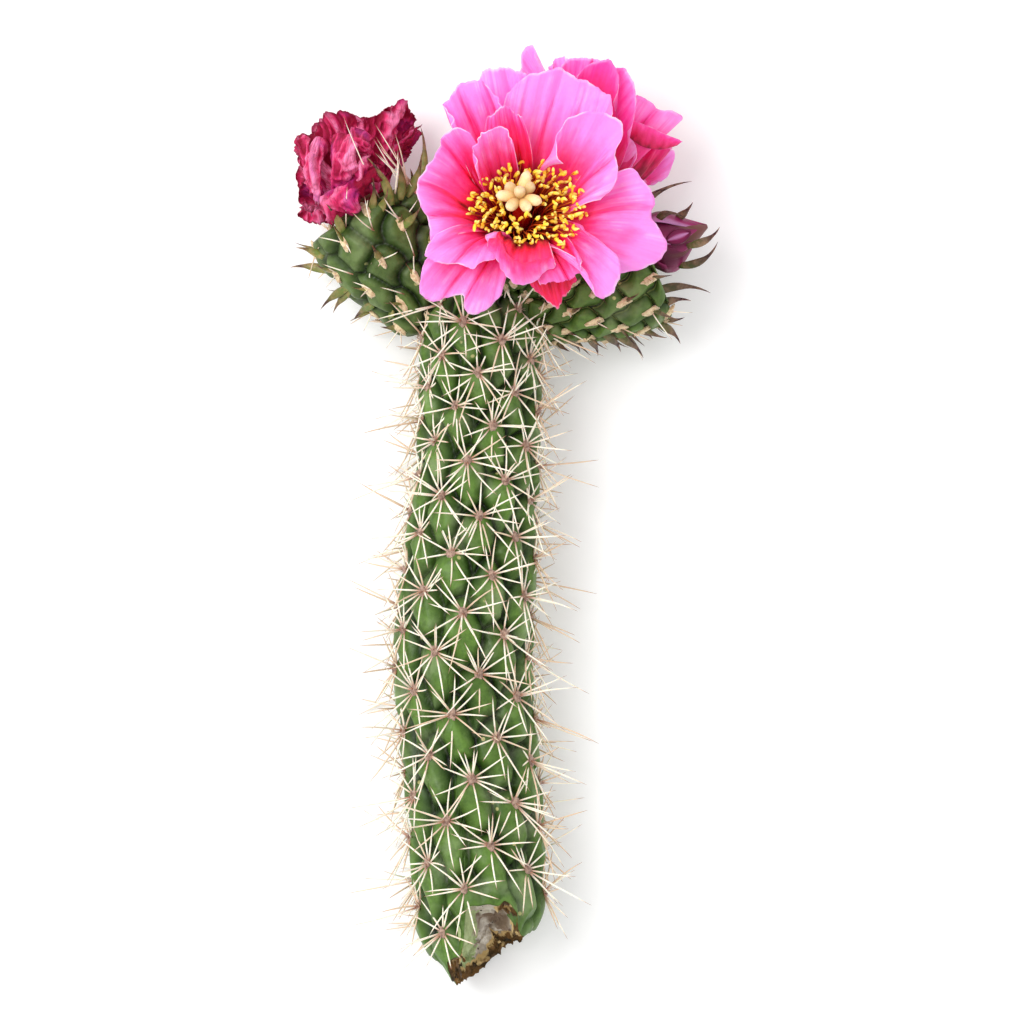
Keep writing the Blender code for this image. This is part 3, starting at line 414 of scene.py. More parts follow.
class Recipe:
    """A node tree written as short calls. A value is a number, a colour or another socket."""

    def __init__(self, tree: Tree) -> None:
        """Works in the given tree."""
        self.tree = tree

    def node(self, kind: str, values: dict | None = None, **settings: object) -> Node:
        """Adds a node.

        Args:
            kind: Its type, without the word ShaderNode.
            values: What its named or numbered sockets take.
            settings: Its own settings.

        Returns:
            The node.
        """
        made = self.tree.nodes.new("ShaderNode" + kind)
        for name, value in settings.items():
            setattr(made, name, value)
        for socket, value in (values or {}).items():
            self.feed(made.inputs[socket], value)
        return made

    def feed(self, socket: Socket, value: object) -> None:
        """Feeds a socket.

        Args:
            socket: Which socket.
            value: Another socket that is linked to it, or the value that it is set to.
        """
        if isinstance(value, bpy.types.NodeSocket):
            self.tree.links.new(value, socket)
        else:
            socket.default_value = value

    def surface(self, **values: object) -> None:
        """Feeds the material's shader.

        Args:
            values: What its sockets take, by their names with underscores for spaces.
        """
        skin = self.tree.nodes["Principled BSDF"]
        for name, value in values.items():
            self.feed(skin.inputs[name.replace("_", " ")], value)

    def math(self, operation: str, *values: object) -> Socket:
        """The result of one sum on one to three values."""
        return self.node("Math", dict(enumerate(values)), operation=operation).outputs[0]

    def times(self, first: object, second: object) -> Socket:
        """The product of two values."""
        return self.math("MULTIPLY", first, second)

    def swing(self, value: object, share: float) -> Socket:
        """How far a value lies over a half, times a share."""
        return self.times(self.math("SUBTRACT", value, 0.5), share)

    def remap(self, value: object, low: float, high: float, start: float = 0, end: float = 1) -> Socket:
        """Carries low to high smoothly over to start to end."""
        sockets = {"Value": value, "From Min": low, "From Max": high, "To Min": start, "To Max": end}
        return self.node("MapRange", sockets, interpolation_type="SMOOTHSTEP").outputs["Result"]

    def toned(self, colour: Socket, tone: Socket, low: float, high: float) -> Socket:
        """A colour whose brightness goes from low to high as the tone goes from 0 to 1."""
        lift = self.remap(tone, 0.0, 1.0, low, high)
        return self.node("HueSaturation", {"Value": lift, "Color": colour}).outputs[0]

    def rim(self, along: Socket, across: Socket, side: float, end: float) -> Socket:
        """A mask of a petal's rim: from `side` of its half width and from `end` of its length."""
        beside = self.remap(self.math("ABSOLUTE", across), side, 1.0)
        return self.math("MAXIMUM", beside, self.remap(along, end, 1.0))

    def mix(self, share: object, first: object, second: object) -> Socket:
        """The first colour, turning into the second as the share goes from 0 to 1."""
        return self.node("Mix", {0: share, 6: first, 7: second}, data_type="RGBA").outputs[2]

    def ramp(self, share: object, *stops: tuple[float, Colour]) -> Socket:
        """A colour that changes smoothly through stops.

        Args:
            share: Where it is read.
            stops: Positions from 0 to 1, each with its colour.

        Returns:
            The colour.
        """
        made = self.node("ValToRGB", {0: share})
        elements = made.color_ramp.elements
        while len(elements) < len(stops):
            elements.new(1.0)
        for element, (position, colour) in zip(elements, stops):
            element.position, element.color = position, colour
        return made.outputs["Color"]

    def spot(self) -> Socket:
        """Where a point is, in the object's own coordinates."""
        return self.node("TexCoord").outputs["Object"]

    def noise(self, size: float, detail: float = 3) -> Socket:
        """Noise of 0 to 1 whose patches are about `size` metres."""
        sockets = {"Vector": self.spot(), "Scale": 1 / size, "Detail": detail}
        return self.node("TexNoise", sockets).outputs["Fac"]

    def cells(self, scale: object) -> Socket:
        """Distance from the nearest of scattered points, `scale` of them to a metre."""
        return self.node("TexVoronoi", {"Vector": self.spot(), "Scale": scale}).outputs["Distance"]

    def patchy(self, size: float, low: float, high: float) -> Socket:
        """A value that goes from low to high in patches of about `size` metres."""
        return self.remap(self.noise(size), 0.3, 0.7, low, high)

    def place(self) -> tuple[Socket, ...]:
        """The three numbers that each point carries: along, across and tone."""
        read = self.node("Attribute", attribute_name="place").outputs["Vector"]
        return tuple(self.node("SeparateXYZ", {0: read}).outputs)

    def group(self, effect: Effect, **values: object) -> Socket:
        """Places a shared effect.

        Args:
            effect: Which effect.
            values: Its own values, by the names of its inputs.

        Returns:
            What it puts out.
        """
        made = self.node("Group", node_tree=effect.tree())
        for name, value in values.items():
            self.feed(made.inputs[name], value)
        return made.outputs[0]

    def mottle(self, colour: object, patches: Colour, scale: float, amount: float) -> Socket:
        """A colour with patches of a second one, `scale` of them to a metre."""
        return self.group(Effect.MOTTLE, Colour=colour, Patches=patches, Scale=scale, Amount=amount)

    def veins(self, count: float, wander: float, width: float) -> Socket:
        """A mask of streaks that run along a petal, about `count` of them to its half width."""
        return self.group(Effect.VEINS, Count=count, Wander=wander, Width=width)

    def bump(self, height: object, depth: float, normal: Socket | None = None) -> Socket:
        """A normal from a height.

        Args:
            height: From 0 to 1.
            depth: The metres that a height of 1 stands for.
            normal: A normal that it adds to.

        Returns:
            The normal.
        """
        sockets = {"Height": height, "Distance": depth}
        if normal is not None:
            sockets["Normal"] = normal
        return self.node("Bump", sockets).outputs["Normal"]


class Effect(Enum):
    """Effects that several finishes share. Each is one node group, built when it is first used."""

    MOTTLE = "mottle"
    VEINS = "veins"
    PORES = "pores"

    def tree(self) -> Tree:
        """The effect's node group."""
        if self.value not in bpy.data.node_groups:
            getattr(self, "_" + self.value)()
        return bpy.data.node_groups[self.value]

    def _start(self, output: str, **inputs: float | Colour) -> tuple[Recipe, dict, Socket]:
        """Makes an empty group with its sockets.

        Args:
            output: Name of what it puts out: a colour if it is named Colour, else a value.
            inputs: Names and first values of its inputs.

        Returns:
            The recipe, the input sockets by name, and the socket that it puts out.
        """
        tree = bpy.data.node_groups.new(self.value, "ShaderNodeTree")
        kinds = {True: "NodeSocketColor", False: "NodeSocketFloat"}
        for name, value in inputs.items():
            kind = kinds[isinstance(value, tuple)]
            made = tree.interface.new_socket(name, in_out="INPUT", socket_type=kind)
            made.default_value = value
        tree.interface.new_socket(output, in_out="OUTPUT", socket_type=kinds[output == "Colour"])
        start, end = tree.nodes.new("NodeGroupInput"), tree.nodes.new("NodeGroupOutput")
        return Recipe(tree), {name: start.outputs[name] for name in inputs}, end.inputs[0]

    def _mottle(self) -> None:
        """Soft patches of a second colour, large ones with small ones inside."""
        r, given, out = self._start("Colour", Colour=WHITE, Patches=WHITE, Scale=100.0, Amount=0.5)
        sockets = {"Vector": r.spot(), "Scale": given["Scale"], "Detail": 5.0, "Roughness": 0.6}
        patch = r.node("TexNoise", sockets).outputs["Fac"]
        share = r.times(r.remap(patch, 0.38, 0.68), given["Amount"])
        r.feed(out, r.mix(share, given["Colour"], given["Patches"]))

    def _veins(self) -> None:
        """Streaks that run along a petal: smooth noise, drawn out along it. 1 on one, 0 off it."""
        r, given, out = self._start("Mask", Count=14.0, Wander=0.6, Width=0.16)
        along, across, tone = r.place()
        along = r.times(along, r.times(given["Wander"], 4.0))
        where = r.node("CombineXYZ", {0: along, 1: r.times(across, given["Count"]), 2: r.times(tone, 3.0)})
        streak = r.node("TexNoise", {"Vector": where.outputs[0], "Scale": 1.0, "Detail": 2.0})
        share = r.math("SUBTRACT", streak.outputs["Fac"], 0.48)
        share = r.math("DIVIDE", share, given["Width"])
        r.feed(out, r.remap(share, 0.0, 1.0))

    def _pores(self) -> None:
        """The fine grain of a waxy skin: a height with shallow pores in it."""
        r, given, out = self._start("Height", Scale=1600.0, Depth=0.5)
        pore = r.times(r.remap(r.cells(given["Scale"]), 0.1, 0.35), given["Depth"])
        grain = r.node("TexNoise", {"Vector": r.spot(), "Scale": given["Scale"], "Detail": 3.0})
        r.feed(out, r.math("ADD", pore, r.times(grain.outputs["Fac"], 0.5)))


class Finish:
    """A material that is built once, from the fields of the dataclass below it."""

    name: str

    def material(self) -> bpy.types.Material:
        """The finish as a material.

        Returns:
            The material, which is made when it is first asked for.
        """
        made = bpy.data.materials.get(self.name)
        if made is None:
            made = bpy.data.materials.new(self.name)
            made.use_nodes = True
            self.dress(Recipe(made.node_tree))
        return made

    def dress(self, r: Recipe) -> None:
        """Feeds the shader. Each finish has its own way."""
        raise NotImplementedError


@dataclass(frozen=True)
class WaxySkin(Finish):
    """Green skin of stem and vessels: painted shade in grooves, painted light on crowns, a bloom partly
    painted sheen.
    """

    name: str
    seam_shade: Colour
    groove: Colour
    flank: Colour
    crown: Colour
    bloom_and_sheen: Colour
    hem: Colour
    speck: Colour = srgb(196, 190, 128)
    edge: float = 0.5

    def dress(self, r: Recipe) -> None:
        """Reads the crest as `along`, the bloom and painted sheen as `across`, and a tubercle's own tone.

        Args:
            r: The material's nodes.
        """
        crest, worn, tone = r.place()
        # Painted shade and light: the colour darkens from the crown down into the grooves and seams,
        # standing in for their shade, and is lightest on the crowns.
        height = r.math("ADD", crest, r.swing(r.noise(4 * MM, 5), 0.3))
        low = ((0.12, self.seam_shade), (0.28, self.groove), (0.36, self.hem))
        base = r.ramp(height, *low, (self.edge, self.flank), (1, self.crown))
        base = r.mottle(base, self.flank, 420.0, 0.5)
        base = r.mottle(base, self.crown, 90.0, 0.25)
        # The pale bloom, partly real wax and partly painted sheen, lies in patches away from the areoles.
        veil = r.times(r.remap(r.noise(8 * MM, 8), 0.48, 0.72), 0.3)
        base = r.mix(r.times(veil, worn), base, self.bloom_and_sheen)
        base = r.toned(base, tone, 0.86, 1.14)
        rare = r.remap(r.noise(9 * MM, 1), 0.55, 0.6)
        dots = r.times(r.remap(r.cells(210.0), 0.13, 0.08), rare)
        pores = r.group(Effect.PORES, Scale=1900.0, Depth=0.5)
        r.surface(
            Base_Color=r.mix(r.times(dots, 0.8), base, self.speck),
            Roughness=r.patchy(3 * MM, 0.36, 0.56),
            Normal=r.bump(pores, 0.05 * MM, r.bump(r.noise(2.4 * MM, 4), 0.25 * MM)),
            Coat_Weight=0.06,
            Coat_Roughness=0.3,
            Specular_IOR_Level=0.26,
        )


@dataclass(frozen=True)
class SpineFinish(Finish):
    """Spines: pinkish tan at the foot, cream in their papery sheath, brown at the point."""

    name: str = "spines"
    foot: Colour = srgb(164, 104, 80)
    sheath: Colour = srgb(250, 243, 226)
    tan: Colour = srgb(216, 186, 154)
    point: Colour = srgb(146, 106, 84)

    def dress(self, r: Recipe) -> None:
        """Reads how far along the spine a point is, and the spine's tone.

        Args:
            r: The material's nodes.
        """
        along, _, tone = r.place()
        middle = r.mix(r.remap(tone, 0.6, 1.15), self.sheath, self.tan)
        shade = r.mix(r.remap(along, 0.03, 0.36), self.foot, middle)
        shade = r.mix(r.remap(along, 0.8, 1.0), shade, self.point)
        shade = r.mottle(shade, self.tan, 900.0, 0.25)
        # The faint emission is a painted glow that brightens the spines.
        r.surface(Base_Color=shade, Emission_Color=shade, Emission_Strength=0.1)
        r.surface(Roughness=r.remap(along, 0.0, 1.0, 0.6, 0.38))
        r.surface(Subsurface_Weight=0.15, Subsurface_Scale=0.5 * MM)


@dataclass(frozen=True)
class WoolFinish(Finish):
    """The felt of an areole, paler and browner in tufts."""

    name: str
    wool: Colour
    dark: Colour

    def dress(self, r: Recipe) -> None:
        """Mottles two colours and raises a short nap.

        Args:
            r: The material's nodes.
        """
        r.surface(Base_Color=r.mottle(self.wool, self.dark, 1100.0, 0.9))
        r.surface(Roughness=r.patchy(0.5 * MM, 0.8, 1.0), Sheen_Weight=0.4, Sheen_Roughness=0.5)
        r.surface(Normal=r.bump(r.noise(0.35 * MM, 5), 0.3 * MM))


@dataclass(frozen=True)
class PetalFinish(Finish):
    """Silky petals: a deep throat, a hot middle, a pale body and a thin paler rim."""

    name: str
    throat: Colour
    heart: Colour
    body: Colour
    outer: Colour
    rim: Colour
    vein: Colour

    def dress(self, r: Recipe) -> None:
        """Grades the colour along the petal, with streaks and veins that follow it.

        Args:
            r: The material's nodes.
        """
        along, across, tone = r.place()
        where = r.node("CombineXYZ", {0: r.times(along, 0.7), 1: across, 2: tone}).outputs[0]
        streaks = r.node("TexNoise", {"Vector": where, "Scale": 5.0, "Detail": 4.0}).outputs["Fac"]
        shift = r.swing(streaks, 0.5)
        at = r.math("ADD", r.math("ADD", along, shift), r.swing(r.noise(9 * MM), 0.3))
        at = r.math("ADD", at, r.remap(tone, -1.0, 1.2, -0.68, 0.26))
        deep = ((0.05, self.throat), (0.22, self.heart))
        shade = r.ramp(at, *deep, (0.55, self.body), (0.95, self.outer))
        throat = r.remap(r.math("ADD", along, r.times(shift, 0.4)), 0.4, 0.14)
        shade = r.mix(throat, shade, self.throat)
        fine = r.times(r.veins(26.0, 0.12, 0.25), 0.08)
        lines = r.math("ADD", r.times(r.veins(8.0, 0.1, 0.25), 0.12), fine)
        shade = r.mix(lines, shade, self.vein)
        # Pale streaks towards the petal's end, in the rim colour, are painted highlights along the pleats.
        pale = r.times(r.veins(15.0, 0.1, 0.25), r.remap(r.noise(6 * MM), 0.42, 0.66, 0.0, 0.3))
        shade = r.mix(r.times(pale, r.remap(at, 0.4, 0.9)), shade, self.rim)
        rim = r.times(r.rim(along, across, 0.965, 0.975), r.remap(along, 0.3, 0.6, 0.0, 0.6))
        shade = r.mix(r.times(rim, r.remap(r.noise(5 * MM), 0.4, 0.6)), shade, self.rim)
        relief = r.math("ADD", r.times(lines, 1.4), r.noise(1.6 * MM, 4))
        # The emission is a painted glow that lights the petals' shaded parts.
        r.surface(Base_Color=shade, Emission_Color=shade, Emission_Strength=0.07)
        r.surface(Roughness=r.patchy(2 * MM, 0.42, 0.6), Normal=r.bump(relief, 0.2 * MM))
        r.surface(Subsurface_Weight=0.45, Subsurface_Scale=1.6 * MM, Subsurface_Radius=(1.0, 0.35, 0.7))
        r.surface(Sheen_Weight=0.05, Sheen_Roughness=0.4, Specular_IOR_Level=0.35)


@dataclass(frozen=True)
class WitheredFinish(Finish):
    """Papery dried petals: painted highlights of pink on the folds and painted shade of nearly black red in
    the creases.
    """

    name: str = "withered petals"
    lit_fold: Colour = srgb(240, 134, 178)
    body: Colour = srgb(208, 48, 102)
    crease: Colour = srgb(134, 6, 44)
    edge: Colour = srgb(96, 6, 36)
    stain: Colour = srgb(176, 60, 160)

    def dress(self, r: Recipe) -> None:
        """Reads the height of the crumple as `tone`.

        Args:
            r: The material's nodes.
        """
        along, across, lit_fold = r.place()
        height = r.math("ADD", lit_fold, r.swing(r.noise(3 * MM, 5), 0.8))
        # Painted light and shade: the crumple's height runs from the crease colour in its hollows to pink
        # on its ridges.
        shade = r.ramp(height, (0.12, self.crease), (0.4, self.body), (0.9, self.lit_fold))
        shade = r.mix(r.remap(r.noise(7 * MM, 2), 0.56, 0.74, 0.0, 0.35), shade, self.stain)
        # Dark streaks along the petal are painted shade in the crevices of its folds.
        shade = r.mix(r.times(r.veins(9.0, 1.4, 0.2), 0.4), shade, self.crease)
        shade = r.mix(r.times(r.veins(26.0, 0.9, 0.14), 0.35), shade, self.edge)
        # Thin dark lines are painted shade of sharp creases; the same lines deepen the bump.
        crack = r.math("ABSOLUTE", r.math("SUBTRACT", r.noise(7 * MM, 3), 0.5))
        shade = r.mix(r.remap(crack, 0.03, 0.0, 0.0, 0.4), shade, self.crease)
        shade = r.mix(r.times(r.rim(along, across, 0.93, 0.95), 0.7), shade, self.edge)
        crumple = r.math("ADD", r.noise(1.3 * MM, 6), r.times(crack, 3.0))
        # The emission is a painted glow.
        r.surface(Base_Color=shade, Emission_Color=shade, Emission_Strength=0.11)
        r.surface(Roughness=r.patchy(2 * MM, 0.5, 0.75), Normal=r.bump(crumple, 0.3 * MM))
        r.surface(Subsurface_Weight=0.12, Subsurface_Scale=0.8 * MM, Specular_IOR_Level=0.15)


@dataclass(frozen=True)
class StalkFinish(Finish):
    """A small organ whose colour goes from its foot through its middle to its tip."""

    name: str
    foot: Colour
    middle: Colour
    tip: Colour
    patches: Colour
    rough: float = 0.5
    shine: float = 0.0
    tip_from: float = 0.92

    def dress(self, r: Recipe) -> None:
        """Grades the colour along the organ, mottles it and tones each one differently.

        Args:
            r: The material's nodes.
        """
        along, _, tone = r.place()
        at = r.math("ADD", along, r.swing(r.noise(2 * MM), 0.3))
        shade = r.ramp(at, (0.05, self.foot), (0.5, self.middle), (self.tip_from, self.tip))
        shade = r.mottle(shade, self.patches, 500.0, 0.6)
        shade = r.toned(shade, tone, 0.8, 1.15)
        # Where `shine` is set, the emission is a painted glow; the anthers have it to lift their yellow in
        # the bowl's shade.
        r.surface(Base_Color=shade, Emission_Color=shade, Emission_Strength=self.shine)
        r.surface(Roughness=r.patchy(1.5 * MM, self.rough - 0.1, self.rough + 0.1))
        r.surface(Normal=r.bump(r.noise(0.8 * MM, 4), 0.1 * MM), Specular_IOR_Level=0.3)
        r.surface(Subsurface_Weight=0.2, Subsurface_Scale=0.8 * MM)


@dataclass(frozen=True)
class BudFinish(Finish):
    """Closed tepals: dark purple, with lilac where a fold turns to the light."""

    name: str = "bud tepals"
    dark: Colour = srgb(84, 8, 46)
    body: Colour = srgb(158, 44, 102)
    lit_fold: Colour = srgb(226, 164, 220)
    rib: Colour = srgb(112, 84, 56)

    def dress(self, r: Recipe) -> None:
        """Paints a lilac highlight on the edges of each tepal and browns its midrib.

        Args:
            r: The material's nodes.
        """
        along, across, tone = r.place()
        out = r.math("ABSOLUTE", across)
        shade = r.mix(r.remap(r.math("ADD", along, out), 0.4, 1.6), self.dark, self.body)
        # Lilac painted highlight where a tepal's edge turns to the light.
        lit_fold = r.times(r.remap(out, 0.66, 0.97), r.remap(tone, 0.0, 0.5))
        shade = r.mix(r.times(lit_fold, 0.8), shade, self.lit_fold)
        rib = r.times(r.remap(out, 0.2, 0.04), r.remap(along, 0.2, 0.8))
        shade = r.mix(r.times(rib, 0.6), shade, self.rib)
        veins = r.veins(9.0, 0.3, 0.3)
        r.surface(Base_Color=r.mix(r.times(veins, 0.3), shade, self.dark))
        r.surface(Roughness=r.patchy(2 * MM, 0.3, 0.5), Specular_IOR_Level=0.25)
        r.surface(Normal=r.bump(r.math("ADD", veins, r.noise(1.5 * MM)), 0.1 * MM))
        r.surface(Coat_Weight=0.06, Coat_Roughness=0.3)


@dataclass(frozen=True)
class PithFinish(Finish):
    """The torn face: dry pith with dark holes, a strip of green flesh and splintered wood with painted
    amber highlights.
    """

    name: str = "torn pith"
    scar: Colour = srgb(206, 198, 184)
    shade: Colour = srgb(128, 108, 90)
    flesh: Colour = srgb(176, 190, 138)
    moss: Colour = srgb(128, 146, 92)
    wood: Colour = srgb(110, 78, 38)
    hem: Colour = srgb(214, 184, 128)
    dark: Colour = srgb(44, 34, 12)

    def dress(self, r: Recipe) -> None:
        """Reads how much of a point is pith as `along`, and how much is wood as `across`.

        Args:
            r: The material's nodes.
        """
        pith, woody, _ = r.place()
        scar = r.mix(r.remap(r.noise(9 * MM, 2), 0.44, 0.6), self.scar, self.shade)
        scar = r.mottle(scar, self.shade, 260.0, 0.5)
        rare = r.remap(r.noise(4 * MM, 1), 0.52, 0.58)
        scar = r.mix(r.times(r.remap(r.cells(520.0), 0.22, 0.14), rare), scar, self.dark)
        jag = r.swing(r.noise(1.5 * MM, 5), 0.7)
        wood = r.mottle(self.wood, self.dark, 380.0, 1.0)
        # Amber streaks on the wood are painted highlights on its splinters.
        wood = r.mix(r.remap(r.noise(3 * MM, 4), 0.56, 0.7), wood, self.hem)
        flesh = r.mottle(self.flesh, self.moss, 300.0, 1.0)
        shade = r.mix(r.remap(r.math("ADD", pith, jag), 0.35, 0.65), flesh, scar)
        split = r.math("ADD", woody, jag)
        # The pale amber line where the pith meets the wood is a painted highlight on the ridge of the
        # split.
        shade = r.mix(r.remap(split, 0.12, 0.3), shade, self.hem)
        r.surface(Base_Color=r.mix(r.remap(split, 0.5, 0.75), shade, wood), Specular_IOR_Level=0.2)
        r.surface(Roughness=r.patchy(1.5 * MM, 0.5, 0.85))
        r.surface(Normal=r.bump(r.noise(1.1 * MM, 6), 0.5 * MM))


@dataclass(frozen=True)
class FloorFinish(Finish):
    """A plain white studio surface."""

    name: str = "studio floor"
    paint: Colour = (0.93, 0.93, 0.93, 1.0)

    def dress(self, r: Recipe) -> None:
        """Sets one matt white that shines faintly, as a light table does."""
        r.surface(Base_Color=self.paint, Roughness=0.9, Specular_IOR_Level=0.1)
        r.surface(Emission_Color=self.paint, Emission_Strength=0.13)


# Each skin's colours run seam, groove, flank, crown, bloom, hem: seam to crown paint shade in the grooves
# and light on the crowns, and the bloom is partly painted sheen.
STEM_SKIN = WaxySkin(
    "stem skin",
    *tints((4, 9, 1), (13, 25, 4), (38, 66, 14), (92, 126, 49), (168, 182, 142), (26, 46, 8)),
)
VESSEL_SKIN = WaxySkin(
    "vessel skin",
    *tints((4, 8, 1), (14, 24, 5), (38, 58, 17), (88, 110, 52), (158, 172, 126), (28, 44, 12)),
)
SCALY_SKIN = WaxySkin(
    "scaly vessel skin",
    *tints((8, 12, 3), (30, 34, 10), (34, 58, 16), (92, 120, 52), (162, 174, 122), (132, 138, 76)),
    edge=0.48,
)
SPINES = SpineFinish()
STEM_WOOL = WoolFinish("areole wool", *tints((186, 154, 136), (112, 76, 62)))
VESSEL_WOOL = WoolFinish("vessel wool", *tints((240, 218, 176), (196, 154, 112)))
OPEN_PETALS = PetalFinish(
    "open petals",
    *tints((140, 2, 14), (232, 16, 58), (252, 60, 136), (252, 140, 220), (255, 222, 250), (238, 44, 142)),
)
SIDE_PETALS = PetalFinish(
    "side petals",
    *tints((124, 2, 40), (206, 12, 84), (250, 62, 150), (252, 148, 216), (255, 196, 232), (216, 24, 110)),
)
WITHERED = WitheredFinish()
ANTHERS = StalkFinish(
    "anther sacs", *tints((244, 188, 44), (254, 222, 66), (255, 246, 140), (240, 168, 36)),
    rough=0.6, shine=0.16,
)
FILAMENTS = StalkFinish(
    "filaments", *tints((84, 4, 8), (164, 24, 14), (222, 116, 34), (190, 52, 20)), rough=0.45
)
STIGMA_FINISH = StalkFinish(
    "stigma lobes", *tints((204, 150, 84), (244, 208, 146), (255, 232, 186), (226, 180, 114)), rough=0.6
)
STYLE_FINISH = StalkFinish(
    "style", *tints((150, 10, 18), (206, 18, 16), (214, 50, 24), (186, 16, 20)), rough=0.3
)
SCALES = StalkFinish(
    "scales", *tints((104, 128, 56), (112, 108, 54), (62, 22, 30), (170, 146, 98)),
    rough=0.4, tip_from=0.7,
)
DARK_SCALES = StalkFinish(
    "dark scales", *tints((92, 104, 52), (86, 64, 52), (58, 20, 32), (164, 134, 104)),
    rough=0.4, tip_from=0.66,
)
BUD_FINISH = BudFinish()
CUP_FINISH = StalkFinish(
    "flower cups", *tints((92, 112, 52), (128, 70, 60), (150, 30, 50), (110, 96, 60)), rough=0.45
)
PITH = PithFinish()
FLOOR = FloorFinish()


# Spirals of areoles


@dataclass(frozen=True)
class Spirals:
    """Areoles on two families of spirals, m and n in number.

    Areole k stands at height k, one divergence further round than the one before it. A point of
    the lattice is (s, t), with k = m s + n t and turn = turn_m s + turn_n t, and areoles are where
    s and t are whole numbers.

    Attributes:
        m: How many spirals the first family has.
        n: How many the second has.
        turn_m: Degrees from one areole to the next on a spiral of the first family.
        turn_n: Degrees on one of the second.
        half_turn: Half width of a tubercle in degrees.
        reach_up: How far it reaches over its crown, counted in areoles.
        reach_down: How far it reaches under it.
        crown: How far the crown lies under the areole.
    """

    m: int
    n: int
    turn_m: float
    turn_n: float
    half_turn: float
    reach_up: float
    reach_down: float
    crown: float

    @property
    def divergence(self) -> float:
        """Degrees from one areole to the next, which is where m s + n t = 1."""
        t = pow(self.n, -1, self.m)
        return t * self.turn_n + (1 - t * self.n) / self.m * self.turn_m

    def _near(self, turn: Array, k: Array) -> tuple[Array, Array, Array, Array]:
        """Where a point lies from the sixteen areoles about it, by both rules solved for s and t.

        Args:
            turn: Degrees round the axis.
            k: Height counted in areoles.

        Returns:
            The turn and the height from each areole, the height from its crown as a share of its
            tubercle's reach, and its number. Their first axis is for the areoles.
        """
        whole = self.m * self.turn_n - self.n * self.turn_m
        s = (self.turn_n * k - self.n * turn) / whole
        t = (self.m * turn - self.turn_m * k) / whole
        i, j = (c.reshape(-1, *[1] * np.ndim(s)) for c in np.mgrid[-1:3, -1:3])
        ds, dt = s - np.floor(s) - i, t - np.floor(t) - j
        across = self.turn_m * ds + self.turn_n * dt
        along = self.m * ds + self.n * dt
        past = along + self.crown
        past = past / np.where(past > 0, self.reach_up, self.reach_down)
        return across, along, past, self.m * (np.floor(s) + i) + self.n * (np.floor(t) + j)

    def crest(self, turn: Array, k: Array) -> Array:
        """How high the tubercles stand: 0 in the seams to 1 on a crown.

        Each tubercle is the dome 1 - across squared - past squared about its crown. A point is
        on the tubercle whose dome is highest there, and a seam is where two are equally high.

        Args:
            turn: Degrees round the axis.
            k: Height counted in areoles.

        Returns:
            The square root of how far the highest dome stands over the next one.
        """
        across, _, past, _ = self._near(turn, k)
        domes = np.sort(1 - (across / self.half_turn) ** 2 - past**2, 0)
        return np.clip((domes[-1] - domes[-2]) / 1.5, 0, 1) ** 0.5

    def nearest(self, turn: Array, k: Array) -> tuple[Array, Array, Array]:
        """The areole whose tubercle a point is on.

        Args:
            turn: Degrees round the axis.
            k: Height counted in areoles.

        Returns:
            The turn and the height from that areole, and its number.
        """
        across, along, past, own = self._near(turn, k)
        best = np.argmin((across / self.half_turn) ** 2 + past**2, 0)[None]
        return tuple(np.take_along_axis(a, best, 0)[0] for a in (across, along, own))


def tone_of(number: Array) -> Array:
    """A steady pseudo-random tone of 0 to 1 for each whole number."""
    return np.mod(np.sin(np.asarray(number, float) * 12.9898) * 43758.5453, 1)


# Vessels


